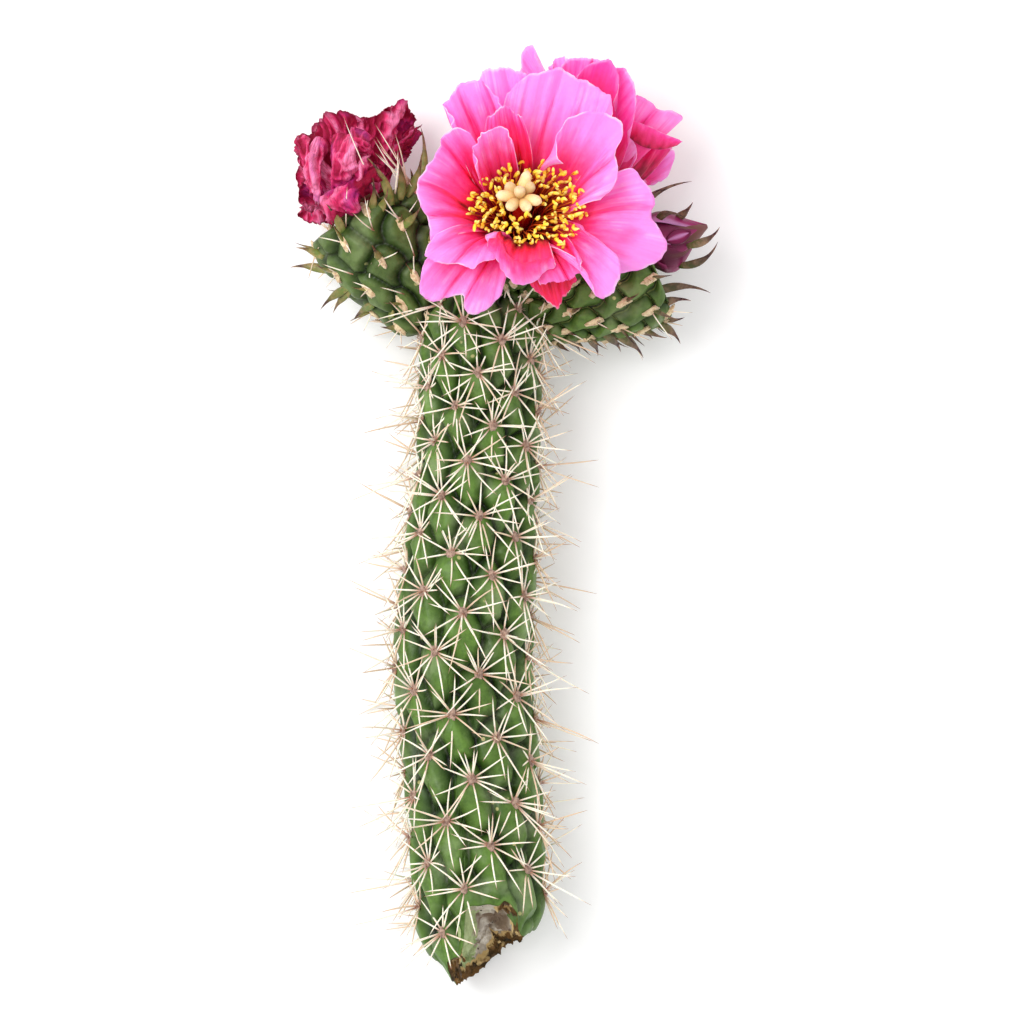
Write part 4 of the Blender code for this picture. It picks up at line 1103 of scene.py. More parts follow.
@dataclass(frozen=True)
class SeedVessel:
    """A seed vessel, shaped like a top: a narrow base, a wide rim and a dished end.

    Attributes:
        phase: Degrees that turn its areoles about the axis.
        scales: How many scales stand at its last areoles, each about `scale_length` long.
        leaves: Foot and tip of each longer scale, in millimetres.
        hook: How far these bow to their left, as a share of their length.
        needles: Foot and tip of each spine that is placed by itself, in millimetres.
        last: How many areoles its height takes in.
        profile: Rows of height as a share of `last`, and of length and radius at it as shares.
    """

    name: str
    base: Point
    rim: Point
    radius: float
    phase: float
    scales: int
    scale_length: float
    leaves: tuple[Pair, ...] = ()
    hook: float = 0.2
    needles: tuple[Pair, ...] = ()
    spines: int = 2
    columns: int = 170
    rows: int = 170
    last: float = 52.0
    groove: float = 2.9 * MM
    spirals: Spirals = Spirals(5, 8, -32.5, 20.0, 18.5, 4.8, 7.4, 1.0)
    finish: Finish = VESSEL_SKIN
    leaf: Finish = SCALES
    profile: tuple[Point, ...] = (
        (0.00, 0.00, 0.00), (0.07, 0.02, 0.36), (0.30, 0.30, 0.72), (0.55, 0.66, 0.97), (0.72, 0.92, 1.00),
        (0.80, 1.00, 0.90), (0.88, 0.97, 0.62), (0.94, 0.93, 0.34), (1.00, 0.92, 0.00),
    )

    @property
    def axis(self) -> Array:
        """Direction from the base to the rim."""
        return unit(np.subtract(self.rim, self.base))

    @property
    def length(self) -> float:
        """Distance from the base to the rim."""
        return float(np.linalg.norm(np.subtract(self.rim, self.base)))

    def skin(self, turn: Array, k: Array) -> tuple[Array, Array]:
        """Points of the skin, and their crest.

        The outline comes from the profile at k / last. The tubercles stand out from it by the
        groove's depth times their crest, and fade towards the dished end.

        Args:
            turn: Degrees round the axis, before the vessel's own phase.
            k: Height counted in areoles.

        Returns:
            The points, and 0 in the grooves to 1 on the crowns.
        """
        share = np.clip(k / self.last, 0, 1)
        along, out = through(self.profile, share)
        angle = np.radians(turn)
        wander = turn + 2.4 * np.sin(5 * angle + 0.5 * k)
        crest = self.spirals.crest(wander, k + 0.9 * np.sin(4 * angle + 0.31 * k))
        relief = np.interp(share, [0, 0.12, 0.8, 0.92, 1], [0, 1, 1, 0.6, 0])
        dent = 0.45 * MM * self.near_areole(turn, k, 1.5)
        out = np.maximum(out * self.radius - self.groove * (1 - crest) * relief - dent * relief, 0)
        ring = around(self.axis, np.radians(turn + self.phase))
        middle = (along * self.length)[..., None] * self.axis + self.base
        return middle + out[..., None] * ring, crest

    def outward(self, points: Array) -> Array:
        """Unit vectors from the axis straight out to points."""
        way = points - self.base
        return unit(way - dot(way, self.axis) * self.axis)

    def near_areole(self, turn: Array, k: Array, size: float) -> Array:
        """How near a point is to an areole.

        Args:
            turn: Degrees round the axis.
            k: Height counted in areoles.
            size: Over how many millimetres it fades.

        Returns:
            1 at an areole, down to 0.
        """
        across, along, _ = self.spirals.nearest(turn, k)
        step = np.pi / 180 * self.radius / MM
        rise = 1.3 * self.length / self.last / MM
        return np.exp(-((across * step) ** 2 + (along * rise) ** 2) / size**2)

    def areoles(self, low: float = 0.08, high: float = 0.79) -> tuple[Array, Array]:
        """Areoles of a part of the vessel.

        Args:
            low: Where it starts, as a share of the height.
            high: Where it ends.

        Returns:
            Their places, and the way that each faces.
        """
        k = np.arange(math.ceil(low * self.last), high * self.last)
        turn = self.spirals.divergence * k
        place, _ = self.skin(turn, k)
        spoke = self.outward(place)
        lean = np.interp(k / self.last, [0, 0.5, 0.75, 0.8], [-0.35, -0.1, 0.3, 1.0])
        return place, unit(spoke + lean[:, None] * self.axis)

    def onto_skin(self, points: Array) -> Array:
        """Points moved straight away from the axis, or towards it, on to the outline.

        A point beyond the rim is brought back to the end face instead.

        Args:
            points: Rough places, one a row.

        Returns:
            The places on the skin.
        """
        way = points - self.base
        height = (way @ self.axis)[:, None]
        spoke = way - height * self.axis
        profile = np.array(self.profile)[:6]
        share = np.clip(height / self.length, 0.02, 0.93)
        radius = self.radius * np.interp(share, profile[:, 1], profile[:, 2])
        own = np.linalg.norm(spoke, axis=-1, keepdims=True)
        radius = np.where(height > 0.93 * self.length, np.minimum(own, radius), radius)
        return self.base + share * self.length * self.axis + radius * unit(spoke)

    def gap(self, points: Array) -> Array:
        """How far points are from the vessel, taken as a cone with round ends.

        Args:
            points: Points of shape (..., 3).

        Returns:
            Their distances, below 0 inside it.
        """
        way = points - self.base
        share = np.clip((way @ self.axis) / self.length, 0, 1)
        near = share[..., None] * self.length * self.axis
        radius = self.radius * np.interp(share, [0, 0.3, 0.6, 1], [0.35, 0.72, 1, 1])
        return np.linalg.norm(way - near, axis=-1) - radius

    def build(self) -> None:
        """Makes the skin, the wool of the areoles, the scales and the few spines."""
        turn = np.linspace(0, 360, self.columns, endpoint=False)
        k = np.linspace(0.3, self.last - 0.2, self.rows)
        turn, k = np.meshgrid(turn, k)
        points, crest = self.skin(turn, k)
        own = self.spirals.nearest(turn, k)[2]
        place = np.stack([crest, 1 - self.near_areole(turn, k, 2.5), tone_of(own)], -1)
        pile = Pile(self.name + "_skin")
        pile.tubes(points[None], place[None])
        pile.build(self.finish, "vessel_skin", self.name)
        self.wool()
        self.leafage()
        self.bristles()

    def wool(self) -> None:
        """Makes the areoles: slim cream pads that run up the vessel, with a ragged top."""
        place, out = off_floor(*self.areoles())
        pile = Pile(self.name + "_wool")
        add_pads(pile, place, out, self.axis, mm(1, 2.4, 0.9), 5)
        add_hairs(pile, place, out, (6, 1.3 * MM, 0.09 * MM), 6)
        pile.build(VESSEL_WOOL, "vessel_skin")

    def scale_lines(self) -> tuple[Array, Array]:
        """Lines of the scales.

        A scale leaves its areole, bends over half way and bends again to its tip. The longer ones
        go from their places on the skin to the given tips, bowed to the left.

        Returns:
            Their middle lines, and their lengths.
        """
        rng = np.random.default_rng(11 + int(self.phase))
        last = int(0.76 * self.last)
        k = np.arange(last - self.scales, last)
        root, _ = self.skin(self.spirals.divergence * k, k)
        spoke = self.outward(root)
        length = self.scale_length * rng.uniform(0.6, 1.05, len(k))[:, None]
        length = length * np.interp(k, [last - self.scales, last], [0.7, 1.05])[:, None]
        upright = 0.7 + 1.3 * np.maximum(0, (k - last + 8) / 8)[:, None]
        lean = rng.normal(0, 0.25, (len(k), 3))
        way = upright * self.axis + spoke + lean
        middle = root + 0.55 * length * above_floor(root, way, 0.55 * length)
        bent = (0.5 + upright) * self.axis + 0.7 * spoke + 2.2 * lean
        tip = middle + 0.5 * length * above_floor(middle, bent, 0.5 * length)
        root = root - 0.8 * MM * spoke
        if self.leaves:
            feet, tips = MM * np.array(self.leaves).swapaxes(0, 1)
            feet = self.onto_skin(feet) - 0.8 * MM * unit(feet - self.base)
            way = tips - feet
            left = np.stack([-way[:, 1], way[:, 0], 0.6 * np.linalg.norm(way, axis=1)], -1)
            root = np.concatenate([root, feet])
            middle = np.concatenate([middle, feet + 0.55 * way + self.hook * left])
            tip = np.concatenate([tip, tips])
        lines = bezier(root[:, None], middle[:, None], tip[:, None], np.linspace(0, 1, 12)[:, None])
        return lines, np.linalg.norm(tip - root, axis=-1)

    def leafage(self) -> None:
        """Makes the fleshy scales: widest near the foot and drawn out to a point."""
        lines, length = self.scale_lines()
        clear = np.all([v.gap(lines[:, 4:]).min(1) > 0.4 * MM for v in VESSELS if v is not self], 0)
        clear &= distance_to(lines[:, 3:], petal_samples(OPEN)) > 0.9 * MM
        away = unit(lines[:, 0] - self.base)
        away[len(away) - len(self.leaves):] += (0.0, 0.0, 2.5)
        lines, length, away = lines[clear], length[clear], unit(away[clear])
        pile = Pile(self.name + "_scales")
        add_leaves(pile, lines, length, away)
        pile.build(self.leaf, "vessel_skin")

    def bristles(self) -> None:
        """Makes the spines of the vessel: a few long pale ones at some of the areoles."""
        place, out = self.areoles(0.16)
        rng = np.random.default_rng(30 + int(self.phase))
        picked = rng.random(len(place)) < 0.8
        place, out = place[picked].repeat(self.spines, 0), out[picked].repeat(self.spines, 0)
        aim = unit(out + rng.normal(0, 0.75, out.shape) + 0.2 * self.axis)
        length = rng.uniform(5.0, 9.5, (len(aim), 1)) * MM
        tips = place + length * above_floor(place, aim, length)
        roots = place - 0.3 * MM * out
        if self.needles:
            feet, ends = MM * np.array(self.needles).swapaxes(0, 1)
            roots, tips = np.concatenate([roots, self.onto_skin(feet)]), np.concatenate([tips, ends])
        pile = Pile(self.name + "_spines")
        kept = add_spines(pile, roots, tips, 0.18 * MM, rng, self)
        if kept:
            pile.build(SPINES, "vessel_skin")


def above_floor(roots: Array, ways: Array, length: Array | float) -> Array:
    """Turns directions up where a straight line would end under 0.5 mm.

    Args:
        roots: Where the lines start.
        ways: The ways that they go.
        length: Their length.

    Returns:
        The ways as unit vectors.
    """
    ways = unit(ways)
    lowest = np.clip((0.5 * MM - roots[..., 2:]) / length, -1, 0.9)
    flat = ways[..., :2] + 1e-6
    flat = flat / np.linalg.norm(flat, axis=-1, keepdims=True)
    raised = np.concatenate([flat * np.sqrt(1 - lowest**2), lowest], -1)
    return np.where(ways[..., 2:] < lowest, raised, ways)


def distance_to(lines: Array, taken: Array) -> Array:
    """The smallest distance of each line (bodies, stations, 3) from a cloud of points."""
    gaps = np.linalg.norm(lines[:, :, None] - taken[None, None], axis=-1)
    return gaps.min((1, 2))


def off_floor(place: Array, out: Array) -> tuple[Array, Array]:
    """The places that are over 2 mm up, each with the way that it faces."""
    high = place[:, 2] > 2 * MM
    return place[high], out[high]


def add_pads(pile: Pile, place: Array, out: Array, up: Array, size: Point, seed: int) -> None:
    """Adds felt pads: low domes, wide and long as `size` says, roughened by a ripple.

    Args:
        pile: Where they go.
        place: Their middles.
        out: The way each faces.
        up: The way their length runs.
        size: Half width, half length and height.
        seed: Picks the ripple.
    """
    long = unit(up - dot(up * np.ones_like(out), out) * out)[:, None, None]
    wide = np.cross(long, out[:, None, None])
    angle = np.linspace(0, 2 * math.pi, 12, endpoint=False)
    dome = np.linspace(-0.35, 0.92, 6)[:, None]
    ring = np.sqrt(np.maximum(1 - dome**2, 0))
    rings = size[0] * (ring * np.cos(angle))[..., None] * wide
    rings = rings + size[1] * (ring * np.sin(angle))[..., None] * long
    rings = rings + size[2] * (dome * np.ones_like(angle))[..., None] * out[:, None, None]
    lumps = 1 + 0.22 * ripple(place[:, None, None] + rings, 1.1 * MM, seed)
    pile.tubes(place[:, None, None] + rings * lumps[..., None], np.array([0.5, 0.5, 0.5]))


def add_leaves(pile: Pile, lines: Array, length: Array, away: Array) -> None:
    """Adds fleshy leaves along the lines: widest near the foot and drawn out to a point.

    Args:
        pile: Where they go.
        lines: Middle lines, of shape (leaves, stations, 3).
        length: Length of each, which sets its width.
        away: The way that the broad side of each faces.
    """
    u = np.linspace(0, 1, lines.shape[1])
    width = 0.7 * (0.6 + 0.6 * np.sin(np.pi * np.minimum(1, u * 1.35 + 0.1)) ** 1.2) * (1 - u**3)
    radii = np.clip(0.16 * length, 0.8 * MM, 1.4 * MM)[:, None] * np.maximum(width, 0.02)
    pile.sweep(lines, radii, 10, tone_of(np.arange(len(lines))), 0.42, away)


def add_hairs(pile: Pile, place: Array, out: Array, each: tuple[int, float, float], seed: int) -> None:
    """Adds short hairs that spread from each place.

    Args:
        pile: Where they go.
        place: Where they start.
        out: The way that they spread about.
        each: How many at each place, their length and their radius.
        seed: Picks their directions.
    """
    count, length, radius = each
    rng = np.random.default_rng(seed)
    roots, ways = place.repeat(count, 0), out.repeat(count, 0)
    ways = unit(ways + rng.normal(0, 0.6, ways.shape))
    reach = length * rng.uniform(0.6, 1.1, (len(ways), 1))
    lines = roots[:, None] + np.linspace(0, 1, 3)[:, None] * (reach * ways)[:, None]
    pile.sweep(lines, radius * np.array([1.0, 0.8, 0.15]), 3)


def add_spines(
    pile: Pile,
    roots: Array,
    tips: Array,
    radius: float,
    rng: np.random.Generator,
    own: SeedVessel | None = None,
) -> int:
    """Adds tapered spines with a slight bow, but for those that would pierce a vessel or petal.

    Args:
        pile: Where they go.
        roots: Where they start.
        tips: Where they end.
        radius: Radius at the foot.
        rng: Draws the bows and tones.
        own: The vessel that bears them, which they may touch.

    Returns:
        How many were added.
    """
    way = tips - roots
    bow = rng.normal(0, 0.016, (len(roots), 3)) * np.linalg.norm(way, axis=-1, keepdims=True)
    u = np.linspace(0, 1, 7)[:, None]
    lines = roots[:, None] + u * way[:, None] + 4 * u * (1 - u) * bow[:, None]
    lines[..., 2] = np.maximum(lines[..., 2], 0.35 * MM)
    others = [v for v in VESSELS if v is not own]
    clear = np.all([v.gap(lines[:, 2:]).min(1) > 0.2 * MM for v in others], 0)
    clear &= distance_to(lines[:, 2:], petal_samples(OPEN)) > 1.2 * MM
    taper = np.array([1.0, 1.0, 1.0, 0.94, 0.84, 0.62, 0.08])
    tones = np.clip(rng.random(len(lines)) + 0.45 * (roots[:, 2] < 22 * MM), 0, 1)[clear]
    if clear.any():
        pile.sweep(lines[clear], radius * taper, 5, tones)
    return int(clear.sum())


# The stem


@dataclass(frozen=True)
class Stem:
    """The stem: tubercles on spirals, star-like spines, and a torn lower end.

    Attributes:
        x: Where its axis lies, but for a bow to the left that is deepest at `bow_y`.
        bow: Depth of that bow.
        bow_reach: Length over which it fades.
        cut_y: Its lower end, with the axis at `cut_z`. The upper one is at `tip_y` and `tip_z`.
        dome_y: Where it starts to round off.
        first: Number of the lowest areole, and `last` of the one past the highest.
        areole_y: Where areole 0 is, at `turn` degrees from the top line.
        rise: Length from it to the next, which the `crowding` shortens further up.
        drift_below: Degrees that each areole below it is turned more, or `drift_above` above it.
        radii: Rows of y and the radius there.
        cut: Rows of turn and the y in millimetres at which the camera sees the skin's end.
        heart: The deepest point of the torn face, which looks `outward`.
        radials: Spines that lie round an areole. The `centrals` stand in their middle.
    """

    x: float = -6.0 * MM
    bow: float = 4.3 * MM
    bow_y: float = -35.0 * MM
    bow_reach: float = 38.0 * MM
    cut_y: float = -117.0 * MM
    cut_z: float = 16.3 * MM
    tip_y: float = 60.0 * MM
    tip_z: float = 18.2 * MM
    dome_y: float = 43.0 * MM
    groove: float = 4.0 * MM
    columns: int = 200
    rows: int = 430
    first: int = -57
    last: int = 79
    areole_y: float = -39.0 * MM
    rise: float = 1.409 * MM
    crowding: float = 0.00204 * MM
    turn: float = 13.6
    drift_below: float = 0.24
    drift_above: float = -0.08
    spirals: Spirals = Spirals(7, 11, 23.5, -14.5, 20.5, 4.6, 9.4, 1.6)
    radii: tuple[tuple[float, float], ...] = (
        (-125 * MM, 15.6 * MM), (-96 * MM, 16.8 * MM), (-45 * MM, 17.6 * MM), (-28 * MM, 17.6 * MM),
        (17 * MM, 15.6 * MM), (60 * MM, 15.6 * MM),
    )
    cut: tuple[tuple[float, float], ...] = (
        (-90, -109), (-70, -110), (-49, -112.6), (-43, -115.4), (-39, -117), (-37, -111.4),
        (-21, -110.2), (-17, -108.2), (-14, -103.2), (-12, -97.5), (18, -96.8), (22, -96),
        (29, -97.2), (36, -99.2), (39, -103.2), (45, -104.4), (56, -104.8), (70, -103.6), (90, -102.8),
        (112, -103.4), (133, -105), (155, -106.5), (169, -110), (180, -113), (196, -115), (207, -116),
        (216, -117), (229, -112.8), (250, -110), (270, -109),
    )
    heart: Point = mm(-3.7, -103.6, 13)
    outward: Point = (0.35, -0.75, 0.5)
    radials: int = 11
    centrals: int = 2
    spine_length: float = 11.5 * MM
    spine_radius: float = 0.235 * MM

    def height_of(self, y: Array) -> Array:
        """The height k at y: the rule y = areole_y + rise k - crowding k squared, solved for k."""
        root = np.sqrt(self.rise**2 - 4 * self.crowding * (y - self.areole_y))
        return (self.rise - root) / (2 * self.crowding)

    def skin(self, turn: Array, y: Array) -> tuple[Array, Array, Array]:
        """Points of the skin at a turn in degrees from the top line and at y.

        The radius over the tubercles is read from `radii` and rounded off at the tip. The grooves
        go in from it by their depth times 1 - crest. Towards the cut the sides draw in by the
        square of how far down they are.

        Args:
            turn: Degrees round the stem, 0 on top and 90 towards +X.
            y: Place along the stem.

        Returns:
            The points, their crest, and 1 at an areole fading to 0 beside it.
        """
        k = self.height_of(y)
        own_turn = turn - self.turn - self.drift_below * np.minimum(k, 0)
        own_turn = own_turn - self.drift_above * np.maximum(k, 0)
        worn = 0.8 * (1 - smooth(y - self.cut_line(turn), 0, 9 * MM))
        wander = own_turn + 1.6 * np.sin(3 * np.radians(turn) + 0.6 * k)
        crest = self.spirals.crest(wander, k + 0.7 * np.sin(5 * np.radians(turn) + 0.45 * k))
        crest = crest * (1 - worn) + worn
        across, along, _ = self.spirals.nearest(own_turn, k)
        near = np.exp(-((across * 0.3) ** 2 + (along * 1.35) ** 2) / 2.2**2)
        (radius,) = through(self.radii, y)
        dome = np.clip((y - self.dome_y) / (self.tip_y - self.dome_y), 0, 1)
        radius = radius * (1 - dome**2.6) ** 0.55
        shallow = np.minimum(1, radius / (8 * MM))
        out = radius - (self.groove * (1 - crest) + 0.5 * MM * near) * shallow
        angle = np.radians(turn)
        low = np.maximum(0, (3 * MM * np.sin(angle) - 97 * MM - y) / (11 * MM))
        out = np.maximum(out - 3.8 * MM * low**2 * np.abs(np.sin(angle)) ** 1.5, 0)
        x, z = self.centre(y)
        return np.stack([x + out * np.sin(angle), y, z + out * np.cos(angle)], -1), crest, near

    def centre(self, y: Array) -> tuple[Array, Array]:
        """Where the axis is: it has a shallow bow, and climbs slightly to the tip.

        Args:
            y: Place along the stem.

        Returns:
            Its x and z there.
        """
        x = self.x - self.bow * np.exp(-(((y - self.bow_y) / self.bow_reach) ** 2))
        share = (y - self.cut_y) / (self.tip_y - self.cut_y)
        return x, self.cut_z + (self.tip_z - self.cut_z) * share

    def cut_line(self, turn: Array) -> Array:
        """Where the skin is torn off at each turn.

        `cut` has the turns from -90 to 270 and the y that the camera sees there. A ripple makes
        the line ragged, and the height of the skin there sets how far sight lines move it.

        Args:
            turn: Degrees round the stem.

        Returns:
            The lowest y of the skin.
        """
        table = np.array(self.cut)
        y = MM * np.interp(np.mod(turn + 90, 360) - 90, table[:, 0], table[:, 1])
        angle = np.radians(turn)
        y = y + 0.4 * MM * np.sin(17 * angle) * np.sin(5 * angle)
        z = self.cut_z + 16.4 * MM * np.cos(angle)
        return LOOK_AT[1] + (y - LOOK_AT[1]) * (1 - (z - LOOK_AT[2]) / DISTANCE)

    def build(self) -> None:
        """Makes the skin, the torn end, the wool and the spines."""
        turn = np.linspace(0, 360, self.columns, endpoint=False)
        cut = self.cut_line(turn)
        share = np.linspace(0, 1, self.rows)[:, None]
        y = cut + (self.tip_y - 0.05 * MM - cut) * share
        points, crest, near = self.skin(turn + 0 * y, y)
        k = self.height_of(y)
        own = self.spirals.nearest(turn + 0 * y - self.turn, k)[2]
        place = np.stack([crest, 1 - near, tone_of(own)], -1)
        deep = 9 * MM * unit(self.outward)
        inner = points[:1] * 0.8 + points[:1].mean(1, keepdims=True) * 0.2 - deep
        pile = Pile("stem_skin")
        pile.tubes(np.concatenate([inner, points])[None], np.concatenate([place[:1], place])[None])
        pile.build(STEM_SKIN, "stem_skin", "stem")
        self.torn_end(points[0, ::-1], turn[::-1])
        place, out = off_floor(*self.areoles())
        wool = Pile("stem_wool")
        add_pads(wool, place, out, np.array([0.0, 1.0, 0.0]), mm(1.05, 1.5, 0.8), 3)
        add_hairs(wool, place, out, (12, 1.9 * MM, 0.1 * MM), 4)
        wool.build(STEM_WOOL, "stem_skin")
        self.spines(place, out)

    def areoles(self) -> tuple[Array, Array]:
        """The areoles that the cut has left.

        Returns:
            Their places, and the way that each faces.
        """
        k = np.arange(self.first, self.last)
        y = self.areole_y + self.rise * k - self.crowding * k**2
        turn = self.turn + self.spirals.divergence * k
        turn = turn + self.drift_below * np.minimum(k, 0) + self.drift_above * np.maximum(k, 0)
        place, _, _ = self.skin(turn, y)
        angle = np.radians(turn)
        out = unit(np.stack([np.sin(angle), 0.12 + 0 * angle, np.cos(angle)], -1))
        kept = y > self.cut_line(turn) + (2.0 + 9.0 * (np.cos(angle) < 0)) * MM
        kept &= y < self.tip_y - 4 * MM
        return place[kept], out[kept]

    def spines(self, place: Array, out: Array) -> None:
        """Makes the spines: a star that lies low round each areole, and a few that stand out.

        Args:
            place: Places of the areoles.
            out: The way that each faces.
        """
        rng = np.random.default_rng(7)
        each = self.radials + self.centrals
        side = unit(np.cross((0.0, 1.0, 0.0), out))
        up = np.cross(out, side)
        order = np.arange(each)
        start = rng.uniform(0, 2 * math.pi, (len(place), 1))
        angle = start + 2 * math.pi * order / self.radials + rng.normal(0, 0.16, (len(place), each))
        central = order >= self.radials
        lean = np.where(central, rng.uniform(0.9, 2.6, angle.shape), rng.uniform(0.08, 0.45, angle.shape))
        length = self.spine_length * rng.uniform(0.7, 1.22, angle.shape)
        length = length * (1 - 0.16 * np.sin(angle)) * np.where(central, 1.25, 1.0)
        way = np.cos(angle)[..., None] * side[:, None] + np.sin(angle)[..., None] * up[:, None]
        way = unit(way + lean[..., None] * out[:, None]).reshape(-1, 3)
        roots = place.repeat(each, 0)
        length = length.reshape(-1, 1)
        tips = roots + length * above_floor(roots, way, length)
        pile = Pile("stem_spines")
        add_spines(pile, roots - 0.4 * MM * out.repeat(each, 0), tips, self.spine_radius, rng)
        pile.build(SPINES, "stem_skin")

    def torn_end(self, edge: Array, turn: Array) -> None:
        """Makes the torn face: a thin body that goes from the skin's edge in to its deepest point.

        Splintered wood runs along the lower edge and fills the narrow left part. Chips of it stand
        at the upper right. The rest is dry pith, with a strip of flesh on its left.

        Args:
            edge: The points where the skin ends.
            turn: The turn of each of them, in degrees.
        """
        heart, outward = np.asarray(self.heart), unit(self.outward)
        inward = np.concatenate([np.linspace(0.95, 0.02, 10), np.linspace(0.012, 0.97, 90)])[:, None]
        points = edge + (heart - edge) * inward[..., None]
        jag = 0.6 * MM * ripple(points, 4 * MM, 2) + 0.5 * MM * ripple(points, 1.5 * MM, 3)
        seen_width = np.linalg.norm((heart - edge)[:, :2], axis=-1) * inward
        lower = smooth(turn, 118, 134) * (1 - smooth(turn, 222, 236))
        chips = smooth(turn, 14, 20) * (1 - smooth(turn, 44, 50))
        wood = lower * (1 - smooth(seen_width + jag, 3.2 * MM, 4.2 * MM))
        wood = np.maximum(wood, chips * (1 - smooth(seen_width + jag, 1.0 * MM, 1.8 * MM)))
        left = points[..., 0] + jag
        wood = np.maximum(wood, 1 - smooth(left, -11.4 * MM, -10.4 * MM))
        pith = smooth(left, -7.6 * MM, -6.0 * MM)
        stand = wood * (0.9 + 0.6 * ridges(points, 3.2 * MM, 5)) * MM
        stand = stand + (0.4 * ridges(points, 3.4 * MM, 7) - 1.2 * (1 - wood)) * MM
        stand = stand * smooth(inward, 0.0, 0.1)
        stand[:10] = -6.0 * MM
        points = points + stand[..., None] * outward
        pile = Pile("torn_end")
        pile.tubes(points[None], np.stack([pith, wood, inward + 0 * pith], -1)[None])
        pile.build(PITH, "stem_skin")


# Flowers


@dataclass(frozen=True)
class Petal:
    # Below 0 the colour is darker red, which on some petals is partly painted shade.
    """A petal, known by its outer edge. Its lengths are in millimetres.

    Attributes:
        edge: Knots along its outer edge, as `seen` takes them.
        pale: Its colour, from 0 for the hottest pink to 1 for the palest lilac.
        creases: Where its creases run, from -1 at one side to 1 at the other.
        lift: How far it first climbs along the flower's axis.
        foot: Half the angle that it takes up round the cup, in degrees.
        ruffle: How far its end waves.
        start: Knots of the line where it starts, if that isn't the cup: such a sheet hangs free.
    """

    edge: tuple[Point, ...]
    pale: float = 0.5
    creases: tuple[float, ...] = ()
    lift: float = 9.0
    foot: float = 40.0
    ruffle: float = 0.9
    start: tuple[Point, ...] = ()

    @property
    def phase(self) -> float:
        """A number that sets its waves apart from those of the other petals."""
        return float(sum(self.edge[0]))


def petals(*rows: tuple) -> tuple[Petal, ...]:
    """Petals from rows of their values, in the order of the fields of `Petal`."""
    return tuple(Petal(*row) for row in rows)


